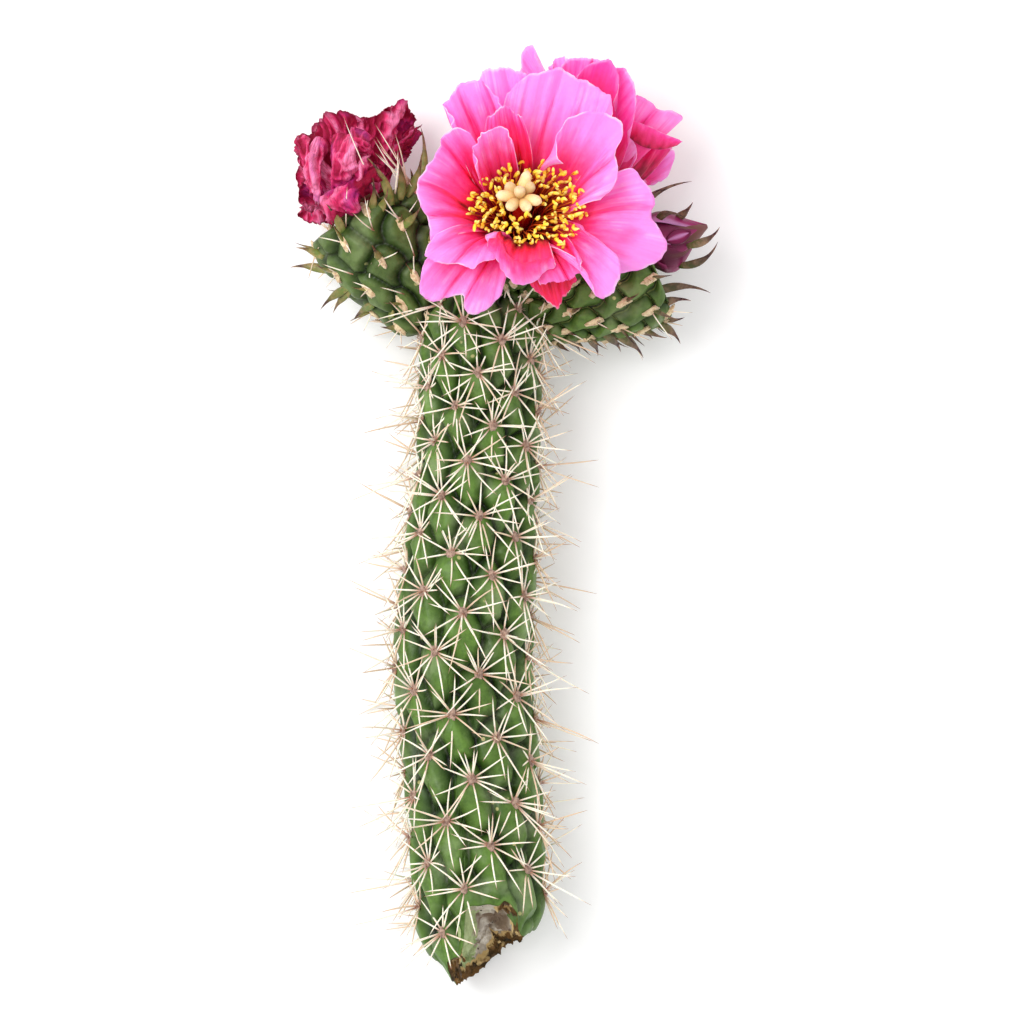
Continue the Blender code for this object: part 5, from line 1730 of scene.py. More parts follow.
@dataclass(frozen=True)
class Flower:
    """A cup on the end of a vessel, and the petals that spread from its edge.

    Attributes:
        crumple: How far the folds of a withered flower stand out, or 0 if it is fresh.
        thickness: Thickness of a petal at its foot, and `rim_thickness` at its edge.
        ragged: How deep its edge is nibbled, as a share of its length.
        spread: How far out it bends, as a share of its reach.
        sunk: How far below the cup's edge it starts.
    """

    name: str
    vessel: SeedVessel
    radius: float
    height: float
    petals: tuple[Petal, ...]
    finish: Finish
    slot: str
    crumple: float = 0.0
    columns: int = 56
    rows: int = 44
    wall: float = 1.5 * MM
    thickness: float = 0.42 * MM
    rim_thickness: float = 0.16 * MM
    ragged: float = 0.011
    spread: float = 0.35
    sunk: float = 1.2 * MM
    crease: float = 1.0 * MM
    pleat: float = 1.3 * MM

    @property
    def centre(self) -> Array:
        """The middle of the cup's mouth."""
        return np.asarray(self.vessel.rim) + self.height * self.vessel.axis

    @property
    def floor(self) -> float:
        """Height of the cup's foot above the vessel's rim: the vessel's end is dished."""
        return -0.06 * self.vessel.length

    def petal(self, petal: Petal, u: Array, v: Array) -> tuple[Array, Array]:
        """Middle surface of a petal.

        It is ruled by curves that leave the cup, bend outwards where they have climbed along the
        axis, and end on the smooth curve through the edge's knots. Waves, pleats and creases then
        move it along its normal.

        Args:
            petal: Which petal.
            u: 0 at the cup to 1 at the edge.
            v: -1 to 1 across.

        Returns:
            The points, and their tone: how pale they are, or how high a withered fold stands.
        """
        axis, centre, lift = self.vessel.axis, self.centre, MM * petal.lift
        first, second = across_axis(axis)
        knots = seen(petal.edge)
        edge = along_knots(knots, 0.5 + 0.5 * v)
        way = knots - centre
        turns = np.unwrap(np.arctan2(way @ second, way @ first))
        across = math.copysign(math.radians(petal.foot), turns[-1] - turns[0])
        ring = around(axis, turns.mean() + across * v)
        root = centre + (self.radius - 0.5 * self.wall) * ring - self.sunk * axis
        far = np.linalg.norm(edge - centre, axis=-1, keepdims=True)
        bend = root + lift * axis + self.spread * np.maximum(far - self.radius, 0) * ring
        if petal.start:
            root = along_knots(seen(petal.start), 0.5 + 0.5 * v)
            bend = 0.5 * (root + edge) + 2 * lift * np.array([-0.2, 0.0, 1.0])
        points = bezier(root, bend, edge, (u * (1 + self.worn(petal, v) * u))[..., None])
        face = unit(np.cross(np.gradient(points, axis=0), np.gradient(points, axis=1)))
        face = face * np.sign((face @ (0.5 * axis + UP)).mean())
        rise, tone = self.relief(petal, points, u, v)
        return points + rise[..., None] * face, tone

    def worn(self, petal: Petal, v: Array) -> Array:
        """How the edge of a petal is nibbled: four sine waves, the finer the lower."""
        waves = ((6, 0.7), (13, 0.6), (29, 0.4), (63, 0.25))
        return self.ragged * sum(high * np.sin(n * v + n * petal.phase) for n, high in waves)

    def relief(self, petal: Petal, points: Array, u: Array, v: Array) -> tuple[Array, Array]:
        """How far a petal stands off its ruled surface, and its tone.

        Waves grow towards the edge. Pleats fan out from the cup. A crease is a narrow valley that
        runs up the petal. A withered petal is crumpled all over instead.

        Args:
            petal: Which petal.
            points: Its ruled surface.
            u: 0 at the cup to 1 at the edge.
            v: -1 to 1 across.

        Returns:
            The height, and the tone.
        """
        if self.crumple:
            run = np.stack([0.25 * MM * petal.foot * v, 3 * MM * u, 0 * u + MM * petal.phase], -1)
            folds = 0.68 * ridges(run, 9 * MM, int(abs(petal.phase)))
            folds = folds + 0.32 * ridges(points, 4.2 * MM, 3)
            grip = np.clip(3 * u, 0, 1)
            return self.crumple * folds * grip, 0.5 + 0.5 * folds + 0.5 * (petal.pale - 0.5)
        phase = petal.phase
        wave = np.sin(5.2 * v + 1.7 * phase) * u**2 + 0.5 * np.sin(12 * v + 4 * u + phase) * u**3
        wave = wave + 0.22 * np.sin(27 * v - 3 * u + phase) * u**5
        pleat = 0.45 * np.cos(13 * v + phase) + 0.22 * np.cos(31 * v + 2 * u - phase)
        pleat = self.pleat * pleat * smooth(u, 0.05, 0.4) * (1 - 0.6 * u)
        crease = 0 * u
        for number, place in enumerate(petal.creases):
            line = place + 0.05 * np.sin(5 * u + phase + number)
            crease = crease + np.exp(-np.abs(v - line) / 0.055) * smooth(u, 0.1, 0.45)
        return MM * petal.ruffle * wave + pleat - self.crease * crease, petal.pale - 0.6 * crease

    def build(self) -> None:
        """Makes the petals and the cup that bears them."""
        u, v = np.meshgrid(np.linspace(0, 1, self.rows), np.linspace(-1, 1, self.columns), indexing="ij")
        thin = self.rim_thickness + (self.thickness - self.rim_thickness) * (1 - u**2) * (1 - v**6)
        pile = Pile(self.name + "_petals")
        for petal in self.petals:
            points, tone = self.petal(petal, u, v)
            along = 0.5 + 0.5 * u if petal.start else u
            pile.blades(points[None], thin[None], np.stack([along, v, tone], -1)[None])
        pile.build(self.finish, self.slot, self.name)
        self.cup()

    def cup(self) -> None:
        """Makes the cup: a fleshy bowl in the vessel's dished end, with a thin lip."""
        r, h, low = self.radius, self.height, self.floor
        profile = [
            (0.02 * MM, low), (0.3 * r, low), (0.55 * r, low), (0.76 * r, 0.1 * h),
            (0.9 * r, 0.4 * h), (0.97 * r, 0.75 * h), (r, h), (r - 0.5 * self.wall, 1.1 * h),
            (r - self.wall, h), (0.72 * r, 0.4 * h), (0.55 * r, low + 2.3 * MM),
            (0.3 * r, low + 2.0 * MM), (0.02 * MM, low + 1.9 * MM),
        ]
        pile = Pile(self.name + "_cup")
        pile.lathe(np.asarray(self.vessel.rim), self.vessel.axis, profile, 48)
        pile.build(CUP_FINISH, self.slot)


@cache
def petal_samples(flower: Flower) -> Array:
    """Points spread over all the petals of a flower.

    Args:
        flower: Which flower.

    Returns:
        The points, one a row.
    """
    u, v = np.meshgrid(np.linspace(0.05, 1, 12), np.linspace(-1, 1, 11), indexing="ij")
    return np.concatenate([flower.petal(p, u, v)[0].reshape(-1, 3) for p in flower.petals])


@dataclass(frozen=True)
class Stamens:
    """Stamens that stand in a bowl round the style, each a golden angle on from the last.

    Attributes:
        near: How far from the axis the innermost ends, at `near_height` over the vessel's rim.
        far: How far from it the outermost ends, at `far_height`.
        hole: Radius that they leave for the style at their feet.
        shift: How far their ends are pushed to one side.
    """

    name: str
    flower: Flower
    count: int
    near: float
    far: float
    near_height: float
    far_height: float
    hole: float
    seed: int
    shift: Point = (0.0, 0.0, 0.0)

    def build(self) -> None:
        """Makes the filaments and the anthers."""
        flower = self.flower
        axis, rim = flower.vessel.axis, np.asarray(flower.vessel.rim)
        rng = np.random.default_rng(self.seed)
        order = np.arange(self.count)
        share = np.sqrt((order + 0.5) / self.count) + rng.normal(0, 0.05, self.count)
        spoke = around(axis, order * GOLDEN_ANGLE + rng.normal(0, 0.12, self.count))
        low = flower.floor + flower.wall + 1.1 * MM
        outer = 0.55 * flower.radius
        foot = self.hole + (outer - self.hole) * rng.random(self.count)
        roots = rim + foot[:, None] * spoke + low * axis
        height = self.near_height + (self.far_height - self.near_height) * share
        height = height + rng.normal(0, 1.3 * MM, self.count)
        reach = self.near + (self.far - self.near) * share
        tips = rim + reach[:, None] * spoke + height[:, None] * axis + np.asarray(self.shift)
        bends = rim + (0.5 * reach + 0.25 * foot)[:, None] * spoke + (0.72 * height)[:, None] * axis
        bends = bends + rng.normal(0, 0.9 * MM, bends.shape)
        u = np.linspace(0, 1, 9)[:, None]
        lines = bezier(roots[:, None], bends[:, None], tips[:, None], u)
        clear = distance_to(lines[:, 3:], petal_samples(flower)) > 0.7 * MM
        lines, tips, bends, spoke = lines[clear], tips[clear], bends[clear], spoke[clear]
        pile = Pile(self.name + "_filaments")
        tones = rng.random(len(lines))
        pile.sweep(lines, np.linspace(0.17, 0.11, 9) * MM, 5, tones)
        pile.build(FILAMENTS, "anthers", self.name)
        aim = unit(unit(tips - bends) + rng.normal(0, 0.8, tips.shape))
        length = rng.uniform(1.1, 2.2, (len(tips), 1, 1)) * MM
        run = np.linspace(-0.5, 0.5, 7)[:, None]
        bow = rng.normal(0, 0.45 * MM, (len(tips), 1, 3))
        lobes = tips[:, None] + run * length * aim[:, None] + (1 - 4 * run**2) * bow
        girth = np.array([0.3, 0.85, 1.0, 0.85, 1.0, 0.85, 0.3]) * 0.44 * MM
        anthers = Pile(self.name + "_anthers")
        anthers.sweep(lobes, girth * rng.uniform(0.85, 1.15, (len(tips), 1)), 6, tones, 0.75)
        anthers.build(ANTHERS, "anthers")


@dataclass(frozen=True)
class Stigma:
    """The style and the ring of plump lobes on its end."""

    flower: Flower
    style_length: float = 14.5 * MM
    style_radius: float = 2.3 * MM
    lobes: int = 7
    lobe_length: float = 5.6 * MM
    lobe_radius: float = 1.4 * MM
    lean: float = 2.2

    def build(self) -> None:
        """Makes the red style, thickest half way up, and the cream lobes."""
        flower = self.flower
        axis = flower.vessel.axis
        foot = np.asarray(flower.vessel.rim) + (flower.floor + flower.wall + 0.7 * MM) * axis
        u = np.linspace(0, 1, 16)[:, None]
        line = foot + u * self.style_length * axis
        (girth,) = through([(0, 0.72), (0.35, 1.0), (0.8, 0.8), (1, 0.66)], u[:, 0])
        style = Pile("open_style")
        style.sweep(line[None], self.style_radius * girth, 24)
        style.build(STYLE_FINISH, "stigma")
        head = foot + (self.style_length - 1.2 * MM) * axis
        odd = tone_of(np.arange(self.lobes + 1))
        turn = math.pi / 12 + (np.arange(self.lobes) + 0.5 * odd[1:]) * 2 * math.pi / self.lobes
        spoke = around(axis, turn)
        starts = np.concatenate([head + 0.6 * MM * spoke, head[None]])
        aims = np.concatenate([unit(axis + self.lean * spoke), axis[None]])
        bends = starts + 0.55 * self.lobe_length * unit(aims + 0.5 * axis)
        tips = starts + (self.lobe_length * (0.8 + 0.45 * odd))[:, None] * aims
        lines = bezier(starts[:, None], bends[:, None], tips[:, None], u)
        (plump,) = through([(0, 0.5), (0.3, 0.85), (0.7, 1.0), (0.9, 0.72), (1, 0.12)], u[:, 0])
        pile = Pile("open_stigma_lobes")
        pile.sweep(lines, self.lobe_radius * plump, 18, odd, 0.92)
        pile.build(STIGMA_FINISH, "stigma", "open_stigma")


@dataclass(frozen=True)
class Bud:
    """The closed bud: tepals wrapped over each other in a spiral round a point.

    Attributes:
        opening: Middle of the slit on its upper side where a tepal shows, with a lilac painted highlight.
        bracts: Foot, bend and tip of each leaf beside it, in millimetres.
        twist: How far round a tepal winds, as a share of a turn.
        profile: Rows of length and radius, as shares.
    """

    foot: Point = mm(35.3, 67.2, 16)
    tip: Point = mm(50.6, 72.6, 18)
    opening: Point = mm(43.2, 69.9, 24.5)
    bracts: tuple[tuple[Point, Point, Point], ...] = (
        ((43.4, 62.8, 19), (50.6, 62.6, 21), (53.2, 68.8, 20)),
        ((45.5, 67.6, 21), (51.6, 68.6, 25), (53.6, 72.4, 22)),
        ((37.5, 73.2, 20), (39.5, 77.4, 26), (44.6, 74.9, 22)),
        ((42.5, 74.4, 18), (45.2, 75.6, 22), (46.9, 78.6, 22)),
    )
    radius: float = 7.7 * MM
    tepals: int = 9
    twist: float = 0.22
    profile: tuple[tuple[float, float], ...] = (
        (0.00, 0.66), (0.15, 0.95), (0.32, 1.00), (0.55, 0.80), (0.78, 0.42), (1.00, 0.06),
    )

    @property
    def axis(self) -> Array:
        """Direction from the foot to the tip."""
        return unit(np.subtract(self.tip, self.foot))

    @property
    def length(self) -> float:
        """Distance from the foot to the tip."""
        return float(np.linalg.norm(np.subtract(self.tip, self.foot)))

    def build(self) -> None:
        """Makes the tepals, the leaves beside them and a slim core."""
        pile = Pile("bud_tepals")
        self.wrap(pile)
        self.fill_opening(pile)
        pile.build(BUD_FINISH, "bud_tepals", "bud")
        feet, middles, tips = MM * np.array(self.bracts).swapaxes(0, 1)[:, :, None]
        lines = bezier(feet, middles, tips, np.linspace(0, 1, 14)[:, None])
        leaves = Pile("bud_bracts")
        add_leaves(leaves, lines, np.full(len(lines), 8 * MM), np.tile(UP, (len(lines), 1)))
        leaves.build(DARK_SCALES, "vessel_skin")
        core = Pile("bud_core")
        rings = [(0.82 * self.radius * r, s * self.length) for s, r in self.profile]
        core.lathe(np.asarray(self.foot), self.axis, [(0.02 * MM, 0.0), *rings], 32)
        core.build(BUD_FINISH, "bud_tepals")

    def wrap(self, pile: Pile) -> None:
        """Adds the tepals, whose free edges stand a little off the next one.

        Args:
            pile: Where they go.
        """
        u, v = np.meshgrid(np.linspace(0, 1, 36), np.linspace(-1, 1, 26), indexing="ij")
        (out,) = through(self.profile, u)
        for n in range(self.tepals):
            layer = 1.0 - 0.028 * n
            reach = 1.0 - 0.05 * (n % 3)
            half = (1.15 - 0.75 * u**1.6) * (1.0 + 0.12 * math.sin(2.4 * n))
            ring = around(self.axis, n * GOLDEN_ANGLE + 2 * math.pi * self.twist * u + half * v)
            lift = 1.7 * MM * v * smooth(u, 0.1, 0.6) + 1.0 * MM * v**2 * smooth(u, 0.4, 1)
            radius = self.radius * out * layer + lift * (1 - 0.6 * u)
            height = (0.03 + u * (0.97 - 0.16 * v**2) * reach) * self.length
            points = np.asarray(self.foot) + height[..., None] * self.axis
            points = points + np.maximum(radius, 0.3 * MM)[..., None] * ring
            place = np.stack([u, v, 0 * u + tone_of(n)], -1)
            pile.blades(points[None], (0.5 * MM * (1 - 0.6 * u))[None], place[None])

    def fill_opening(self, pile: Pile) -> None:
        """Adds the tepal that shows in the slit, a low saddle pointed at both ends, painted lilac across
        its middle as a highlight.

        Args:
            pile: Where it goes.
        """
        u, v = np.meshgrid(np.linspace(-0.98, 0.98, 20), np.linspace(-1, 1, 12), indexing="ij")
        aside = np.array([-self.axis[1], self.axis[0], 0])
        way = u[..., None] * 3.4 * MM * self.axis + (v * (1 - u**2) * 1.9 * MM)[..., None] * aside
        points = np.array(self.opening) + way + (0.5 * v**2 - 0.5 * u**2)[..., None] * mm(0, 0, 1)
        # Tone 1 and an `across` highest in the middle give it the lilac painted highlight there.
        place = np.stack([0.5 + 0 * u, 1 - 0.75 * np.abs(v), 1 + 0 * u], -1)
        pile.blades(points[None], 0.5 * MM + 0 * u[None], place[None])


LEFT_NEEDLES = (
    ((-34.1, 83.6, 26), (-40, 99.2, 44)), ((-27.5, 86.1, 24), (-27.2, 94.9, 40)),
    ((-26.9, 88.5, 26), (-32.2, 97.4, 42)), ((-26.5, 88, 26), (-32.2, 90.2, 40)),
    ((-25.6, 88.6, 25), (-31.2, 92.1, 40)), ((-28.5, 86.5, 27), (-32.5, 93.6, 41)),
    ((-26.5, 87, 25), (-28, 92, 38)), ((-40.6, 73, 28), (-39, 81.8, 42)),
    ((-32.8, 71.4, 33), (-34.7, 79.3, 43)), ((-32.5, 71.1, 33), (-37.8, 75.5, 40)),
    ((-25.6, 73.6, 32), (-30, 79.3, 42)), ((-25.6, 73.6, 32), (-30, 76.4, 39)),
    ((-22.5, 64.9, 30), (-25, 71.8, 38)), ((-38.1, 60.2, 28), (-45.6, 63, 27)),
    ((-25.6, 55.2, 30), (-31, 57, 35)), ((-32.2, 56.8, 26), (-38.1, 58.6, 27)),
    ((-31.5, 84.5, 28), (-26.5, 91.2, 42)), ((-32, 86, 28), (-26, 89.4, 42)),
    ((-25.5, 86, 26), (-31.5, 89.9, 42)), ((-24.5, 86, 26), (-32, 94.2, 41)),
)
LEFT_LEAVES = (
    ((-45.8, 65.2, 22), (-52.2, 67.2, 22)), ((-47, 60.5, 15), (-53.8, 62.5, 13)),
    ((-39.2, 57.8, 22), (-46.2, 51.8, 16)), ((-38.8, 57.2, 22), (-43, 51, 15)),
    ((-32.5, 53.8, 22), (-37.8, 49.5, 15)), ((-26.8, 52.2, 22), (-30.8, 48.8, 15)),
    ((-21.8, 50.8, 20), (-23.8, 48.2, 15)), ((-41, 70.8, 29), (-44.5, 77.8, 36)),
    ((-36.8, 78, 31), (-32.8, 84.2, 36)), ((-35.5, 80.2, 31), (-29, 81.8, 36)),
    ((-25.8, 72.8, 33), (-20.8, 77.2, 38)), ((-25.5, 88, 22), (-21, 97.2, 22)),
    ((-25.2, 83, 30), (-20.8, 90.5, 32)), ((-26.8, 82.8, 32), (-27, 89.2, 36)),
    ((-31.2, 83.8, 33), (-34.2, 89.2, 36)),
)
LEFT = SeedVessel(
    "vessel_left", mm(-17, 48, 16), mm(-35, 77, 16.2), 16.8 * MM,
    phase=10, scales=30, scale_length=7.5 * MM, hook=-0.16,
    leaves=LEFT_LEAVES,
    needles=LEFT_NEEDLES,
    spirals=Spirals(5, 8, 32.5, -20.0, 18.5, 4.8, 7.4, 1.0),
)
RIGHT_LEAVES = (
    ((37.5, 75.5, 22), (40.5, 82.3, 21)), ((40.5, 77, 17), (46.8, 84, 14)),
    ((43.5, 58.5, 20), (51.5, 56, 16)), ((39, 52.5, 20), (46.5, 54, 20)), ((39, 48.5, 14), (44, 43.3, 10)),
    ((34, 47.5, 16), (37, 44.5, 12)), ((28.5, 46, 16), (34.7, 39.8, 9)), ((25, 47, 19), (29, 41.3, 12)),
    ((20.5, 47, 19), (23.3, 40.3, 11)), ((15, 48, 18), (18.8, 41.3, 10)),
    ((10, 49.5, 19), (13.5, 45.5, 14)),
)
RIGHT = SeedVessel(
    "vessel_right", mm(3, 49.5, 15.2), mm(36.5, 63.5, 14.6), 15.2 * MM,
    phase=40, scales=52, scale_length=7.4 * MM, hook=0.24, spines=1,
    last=84.0, columns=290, rows=220, finish=SCALY_SKIN, leaf=DARK_SCALES,
    leaves=RIGHT_LEAVES,
    spirals=Spirals(8, 13, 20.0, -12.5, 15.2, 3.2, 10.8, 1.4),
)
MIDDLE = SeedVessel(
    "vessel_middle", mm(5.7, 58, 15.5), mm(4.5, 71, 36), 10.8 * MM,
    phase=0, scales=5, scale_length=6 * MM, columns=120, rows=120,
)
BACK = SeedVessel(
    "vessel_back", mm(0, 54, 12), mm(21.5, 82, 15.5), 9.4 * MM,
    phase=25, scales=4, scale_length=6 * MM, columns=120, rows=120,
)
VESSELS = (LEFT, RIGHT, MIDDLE, BACK)

OPEN_FORMS = petals(
    (((0.2, 106, 40), (3.8, 109.2, 41), (8.8, 111.2, 42), (13.8, 112, 42), (18.8, 109.8, 42),
    (23.2, 107.2, 42), (26.2, 104.8, 42), (27, 100.8, 43)), 1.0, (-0.55, -0.1, 0.3, 0.62), 12, 50),
    (((-9.8, 104.2, 36), (-7.2, 108.8, 36), (-4.2, 111.8, 37), (0, 112.5, 37), (4.2, 111, 38),
    (7.8, 108.2, 38)), 1.1, (0.2,)),
    (((-1.2, 101.2, 46), (-3.2, 106.2, 45), (-6.2, 109.2, 44), (-10.8, 108, 45), (-13.8, 104.8, 46),
    (-14.5, 101.2, 47), (-13.5, 96.8, 48)), 0.6, (-0.4, 0.1, 0.5), 12, 36),
    (((-4.5, 99.2, 48), (-2.5, 101.8, 49), (1.2, 102, 48), (4.2, 100.2, 47)), 0.05, (), 14, 30),
    (((1.5, 93.8, 50), (-0.5, 96.5, 52), (-3.5, 97.5, 53), (-6, 96.5, 53), (-6.8, 92.2, 52),
    (-7.8, 87.8, 50)), 0.45, (), 13, 34),
    (((-8.8, 95.8, 51), (-12.5, 96.8, 51), (-16, 92.2, 51), (-19.8, 88, 50), (-22, 83.5, 50),
    (-21.2, 78.8, 50), (-19.2, 74.2, 50), (-18.5, 68.5, 49)), 0.35, (-0.5, 0.15, 0.6), 12, 46),
    (((-17.8, 70.2, 51), (-19.8, 65.2, 52), (-16, 63.8, 53), (-11.2, 63, 53), (-7.8, 62, 53),
    (-5.8, 63.8, 53), (-3.2, 64.8, 52), (-2.8, 66.8, 51), (-4.5, 70.2, 49)), 0.45, (-0.2,), 12, 30, 1.1),
    (((-1.2, 62.8, 47), (-0.2, 57.2, 48), (-2.8, 53.5, 47), (-6.8, 51.2, 46), (-10.2, 51.8, 46),
    (-10.5, 54.8, 47), (-14, 55, 47), (-16.2, 54, 47), (-20, 54.5, 47), (-21.2, 59.2, 48),
    (-20.5, 63.8, 49)), 0.4, (-0.05, 0.25), 9, 40, 0.7),
    # This petal's dark tone is partly painted shade: its inner side lies under the curled sheet above it.
    (((-3.5, 69.8, 50), (-1, 68.4, 53), (0.4, 65.2, 55), (3.4, 62.6, 56), (6.6, 63.2, 56), (9.6, 63.8, 56),
    (12.2, 64.4, 55)), -0.4, (), 13, 40, 0.3),
    (((-4.3, 66, 51), (-2, 64, 53), (0.4, 60.8, 54), (2.8, 58.4, 54), (5.3, 57.7, 54), (8.1, 59.4, 54),
    (10.4, 61.8, 54), (12.4, 63.4, 54)), 0.2, (), 0.8, 40, 0.4, ((-3.9, 69.6, 52), (-1.2, 69.4, 55),
    (0.6, 65.8, 57), (4, 63.6, 57.5), (8.1, 64.3, 57.4), (12.2, 65.2, 56))),
    (((8.8, 58, 53), (12.8, 58.8, 53), (16.5, 59.5, 53), (18.8, 61.5, 54), (19.5, 63.8, 54)), 0.0, (0.1,),
    11, 30),
    # This petal's dark tone is partly painted shade, under the curled edge above it.
    (((6.5, 58.2, 46), (10, 54.5, 46), (13, 51.8, 46), (14.5, 55, 46), (18, 59, 47)), -0.8, (0.0,),
    8, 30, 0.4),
    (((17.8, 64.8, 54), (19.8, 61.8, 54), (21.8, 58.2, 53), (23.8, 55, 52), (26.8, 56.2, 52),
    (28.8, 59.8, 52), (28.5, 63.8, 52), (25.5, 67, 51), (21.2, 68.2, 50)), 0.5, (), 12, 30, 0.5),
    (((24.8, 80.8, 46), (27.5, 86, 46), (31.5, 87, 46), (34.8, 83.8, 46), (37.5, 79.2, 46),
    (37.2, 74.8, 45), (39.2, 70.2, 46), (40, 66.2, 46), (37.5, 63.5, 46), (33.2, 61.8, 46),
    (28.8, 60.5, 47)), 0.6, (-0.02,), 9, 44, 0.7),
    (((14.5, 88.2, 50), (13.2, 90.5, 51), (14, 95.5, 51), (16.5, 99.5, 50), (20.8, 101.5, 49),
    (25.8, 101.2, 48), (28.8, 99.2, 48), (29.5, 95.5, 48), (26.8, 91.2, 49), (28, 86.8, 50),
    (26.8, 81.8, 50), (23.8, 79.5, 49)), 0.65, (0.45,), 12, 42, 0.7),
)
OPEN = Flower(
    "open_flower", MIDDLE, radius=7.8 * MM, height=3.6 * MM, finish=OPEN_PETALS, slot="petals",
    petals=OPEN_FORMS,
)
SIDE_FORMS = petals(
    (((4, 109.8, 20), (3.8, 114, 21), (5.5, 117.8, 22), (8.2, 115.2, 23), (10.5, 111.5, 24)), 1.0),
    (((11, 111.2, 22), (12.5, 114.5, 23), (14.5, 115, 24), (16.5, 114.2, 25)), 0.95),
    (((14.2, 112.6, 27), (16.2, 114.6, 28), (18.8, 114.9, 29), (21.2, 114.6, 30), (24, 114.2, 30),
    (26, 114.6, 31)), 0.0, (0.3,), 9, 50, 0.3),
    (((28, 112.5, 33), (29.8, 112.3, 33), (31.4, 109.8, 33.5), (32.6, 106.3, 34), (32.8, 102.8, 34),
    (32.2, 99.3, 34), (30.6, 96.4, 33)), 0.0, (), 10, 45, 0.2),
    (((18, 110.2, 32), (20.8, 112.8, 33.5), (23.8, 114.2, 34), (26.4, 114.2, 35), (27.6, 112.4, 35.5),
    (28.3, 109.8, 35.5), (28.2, 106.8, 35), (27, 103.8, 34)), -0.12, (), 11, 55, 0.15),
    (((33, 105.5, 26), (36.2, 104, 25), (38.8, 101.8, 24), (41.2, 101.8, 23), (44.5, 99.5, 22),
    (40.8, 97.8, 22), (36.8, 98.2, 23), (33.8, 99.2, 25)), 0.2, (-0.5,), 9, 30, 0.3),
    (((31.2, 99.2, 28), (35.8, 97.8, 27), (39.8, 95.8, 25), (44.6, 93.9, 22)), -0.15, (), 0.6, 25, 0.2,
    ((30.2, 95.8, 27), (33.8, 93, 26), (38.8, 92, 24), (43.2, 93, 22))),
    # This petal's dark tone is partly painted shade, in the hollow of the side flower.
    (((30.2, 96.8, 24), (35, 95.8, 21), (39.2, 93.5, 19), (41.8, 92.2, 19)), -0.5, (), 6, 35),
    (((39.8, 92.8, 19), (42.2, 91.8, 17), (41.8, 88, 16), (40.2, 84.5, 15), (37.5, 83.5, 15),
    (33.8, 84.8, 16), (30.8, 87.2, 18)), 0.45, (0.2,), 8, 40, 0.5),
    (((28, 91.8, 26), (29.2, 95.5, 27), (31.8, 94.2, 27), (33, 90.5, 26), (32, 87.8, 25)), 0.25, (),
    6, 30, 0.4),
)
SIDE = Flower(
    "side_flower", BACK, radius=6.2 * MM, height=2.4 * MM, finish=SIDE_PETALS, slot="petals",
    petals=SIDE_FORMS,
    columns=44, rows=36, ragged=0.004, pleat=0.2 * MM,
)
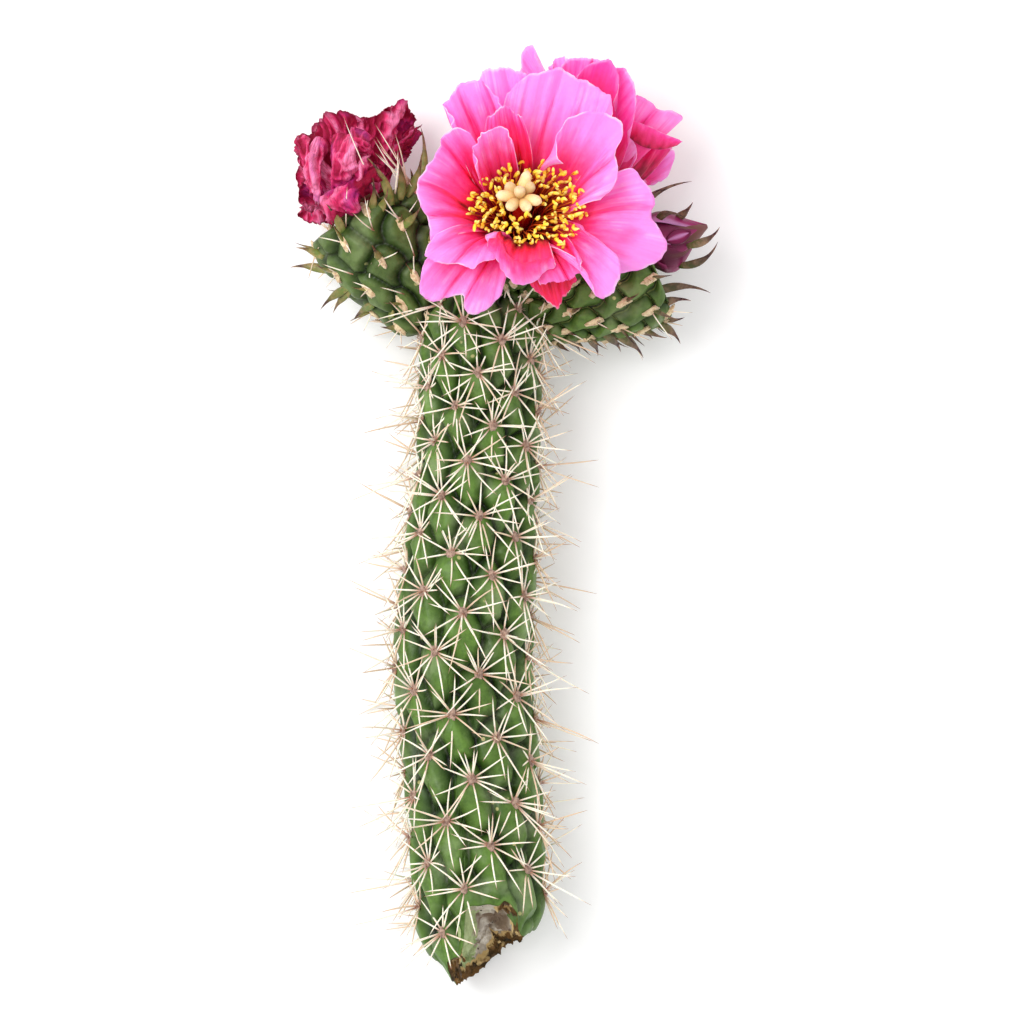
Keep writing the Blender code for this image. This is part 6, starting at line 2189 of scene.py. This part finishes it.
WILTED_FORMS = petals(
    (((-47.5, 78, 22), (-43, 82.4, 29), (-36.5, 86.6, 29), (-31, 89, 22)), 0.3, (), 1.5, 60, 0.3,
    ((-46.7, 76.8, 8), (-41.6, 80.5, 4), (-34.8, 84.5, 4), (-29.7, 87.4, 8))),
    (((-45.5, 84, 20), (-42, 87, 25), (-37, 89, 25), (-34, 90, 20)), 0.5, (), 1.5, 60, 0.3, ((-45, 80, 6),
    (-41, 84, 4), (-36, 87, 4), (-33, 88, 8))),
    (((-49.2, 74.8, 24), (-51.2, 78, 26), (-50, 81.8, 28), (-50.5, 86.8, 28), (-52, 92.2, 26), (-51.5, 95.2,
    24)),),
    (((-52, 93.8, 21), (-48.5, 96.8, 23), (-46, 100, 26), (-43, 101, 27), (-40, 101, 28), (-38.5, 98.8,
    28)),),
    (((-50.2, 81, 25), (-49, 79.8, 27), (-47.2, 78.5, 28), (-45.8, 79.2, 29), (-44.5, 80, 28)), 1.0, (),
    5, 12, 0.9, ((-48.5, 93.2, 25), (-46.8, 95, 26), (-44.8, 94.2, 26), (-43.8, 92, 25))),
    (((-44, 81.8, 28), (-43.5, 80, 29), (-41.2, 80.2, 30), (-39.2, 82.5, 31), (-38.2, 84.2, 31),
    (-36.2, 86.2, 30)), 0.8, (), 5, 18, 0.9, ((-43, 95.5, 27), (-41.2, 96, 29), (-39.5, 95.5, 30),
    (-37.2, 96.4, 29), (-36.5, 94.2, 28))),
    (((-36.8, 91.2, 30), (-35.2, 89.8, 30), (-33.8, 89.8, 30), (-32.2, 92.2, 29)), 0.7, (), 5, 12, 0.9,
    ((-38.5, 97.5, 27), (-36.8, 97, 28), (-35, 96.4, 28), (-33, 94.6, 27))),
    (((-52, 91.8, 22), (-51, 88.8, 24), (-49.2, 86.8, 26), (-48, 88, 27)), 0.4, (), 4, 12, 0.9,
    ((-52, 95.2, 22), (-50.2, 95.4, 24), (-48.5, 94.4, 24))),
    (((-37, 82, 30), (-35.5, 81, 31), (-34, 82.5, 31), (-33.2, 86, 30)), 0.5, (), 4, 12, 0.9,
    ((-37.2, 90, 27), (-35.8, 90.6, 28), (-33.5, 90.4, 27))),
    (((-44.8, 75, 29), (-42.4, 73.6, 31), (-40, 75.4, 33), (-37.8, 75.4, 34), (-36, 78.4, 34.5),
    (-34.4, 80, 34.5), (-32.6, 82.6, 34), (-30, 83.4, 33)), 0.1, (), 4, 30, 0.9, ((-45, 81, 27),
    (-41, 83, 30), (-36.5, 86, 31), (-32, 88, 30))),
    (((-38.2, 99, 27), (-35.8, 98.8, 27), (-33, 100, 26), (-30.2, 101.2, 25), (-27.2, 103.2, 24),
    (-24.8, 104, 23), (-24, 101, 22), (-21.5, 99, 20)),),
    (((-21.5, 98.5, 17), (-22.2, 95.2, 16), (-23.5, 91.2, 15), (-25.8, 87.8, 15)),),
    (((-51.8, 77.2, 19), (-49.5, 74, 17), (-45.8, 73.2, 17), (-41.8, 73, 18)),),
    (((-51, 81.8, 13), (-51.8, 88.8, 11), (-49.8, 95.2, 10), (-43.8, 99.8, 10), (-38.2, 99, 10)),),
    (((-38.2, 99, 14), (-31.2, 100.5, 11), (-25.5, 102.8, 10), (-22.2, 97.8, 9), (-24.2, 91.8, 9)),),
    (((-46.8, 99.2, 17), (-40, 100.8, 19), (-33.2, 99.5, 19), (-28.2, 102.2, 18)),),
)
WILTED = Flower(
    "wilted_flower", LEFT, radius=8.5 * MM, height=2.5 * MM,
    petals=WILTED_FORMS,
    finish=WITHERED, slot="wilted_petals", crumple=1.5 * MM, columns=55, rows=54, ragged=0.024,
)
STAMENS = (
    Stamens(
        "open_stamens", OPEN, 270, near=3.4 * MM, far=14.5 * MM, near_height=15.1 * MM,
        far_height=12.4 * MM, hole=3 * MM, seed=51, shift=mm(2, -1, 0),
    ),
    Stamens(
        "side_stamens", SIDE, 40, near=2.5 * MM, far=5.5 * MM, near_height=12.4 * MM,
        far_height=11.4 * MM, hole=0.5 * MM, seed=52,
    ),
)


# Studio


@dataclass(frozen=True)
class Studio:
    """A white floor, soft light from the upper left, and a camera that looks straight down.

    The camera takes in `view_width` at the height that it looks at.
    """

    view_width: float = 0.256
    sensor: float = 36.0
    floor_half: float = 3.0
    sky: float = 0.93
    key_power: float = 17.0
    key_place: Point = (-0.85, 0.5, 1.4)
    key_size: float = 0.95

    def build(self) -> None:
        """Makes the floor, the world, the key light and the camera."""
        scene = bpy.context.scene
        scene.view_settings.view_transform = "Standard"
        mesh = bpy.data.meshes.new("floor")
        half = self.floor_half
        corners = [(-half, -half, 0), (half, -half, 0), (half, half, 0), (-half, half, 0)]
        mesh.from_pydata(corners, [], [(0, 1, 2, 3)])
        mesh.materials.append(FLOOR.material())
        floor = bpy.data.objects.new("floor", mesh)
        scene.collection.objects.link(floor)
        world = bpy.data.worlds.new("studio")
        world.use_nodes = True
        backdrop = world.node_tree.nodes["Background"]
        backdrop.inputs["Color"].default_value = WHITE
        backdrop.inputs["Strength"].default_value = self.sky
        scene.world = world
        light = bpy.data.lights.new("key", "AREA")
        light.energy, light.size = self.key_power, self.key_size
        self.aim(bpy.data.objects.new("key", light), self.key_place)
        lens = bpy.data.cameras.new("camera")
        lens.sensor_width = self.sensor
        lens.lens = self.sensor * DISTANCE / self.view_width
        lens.clip_end = 20.0
        camera = bpy.data.objects.new("camera", lens)
        scene.collection.objects.link(camera)
        camera.location = np.add(LOOK_AT, (0, 0, DISTANCE))
        scene.camera = camera

    def aim(self, lamp: bpy.types.Object, place: Point) -> None:
        """Puts a lamp in its place, turned towards the middle of the view.

        Args:
            lamp: The lamp.
            place: Where it goes.
        """
        bpy.context.scene.collection.objects.link(lamp)
        lamp.location = place
        way = unit(np.subtract(LOOK_AT, place))
        across, _ = across_axis(way)
        turn = np.stack([across, np.cross(across, way), -way], -1)
        lamp.rotation_euler = Matrix(turn.tolist()).to_euler()


def main() -> None:
    """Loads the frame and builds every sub-assembly round it."""
    logging.basicConfig(level=logging.INFO, format="%(name)s %(message)s")
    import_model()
    for assembly in (Studio(), Stem(), *VESSELS, OPEN, SIDE, WILTED, *STAMENS, Stigma(OPEN), Bud()):
        assembly.build()


if __name__ == "__main__":
    main()
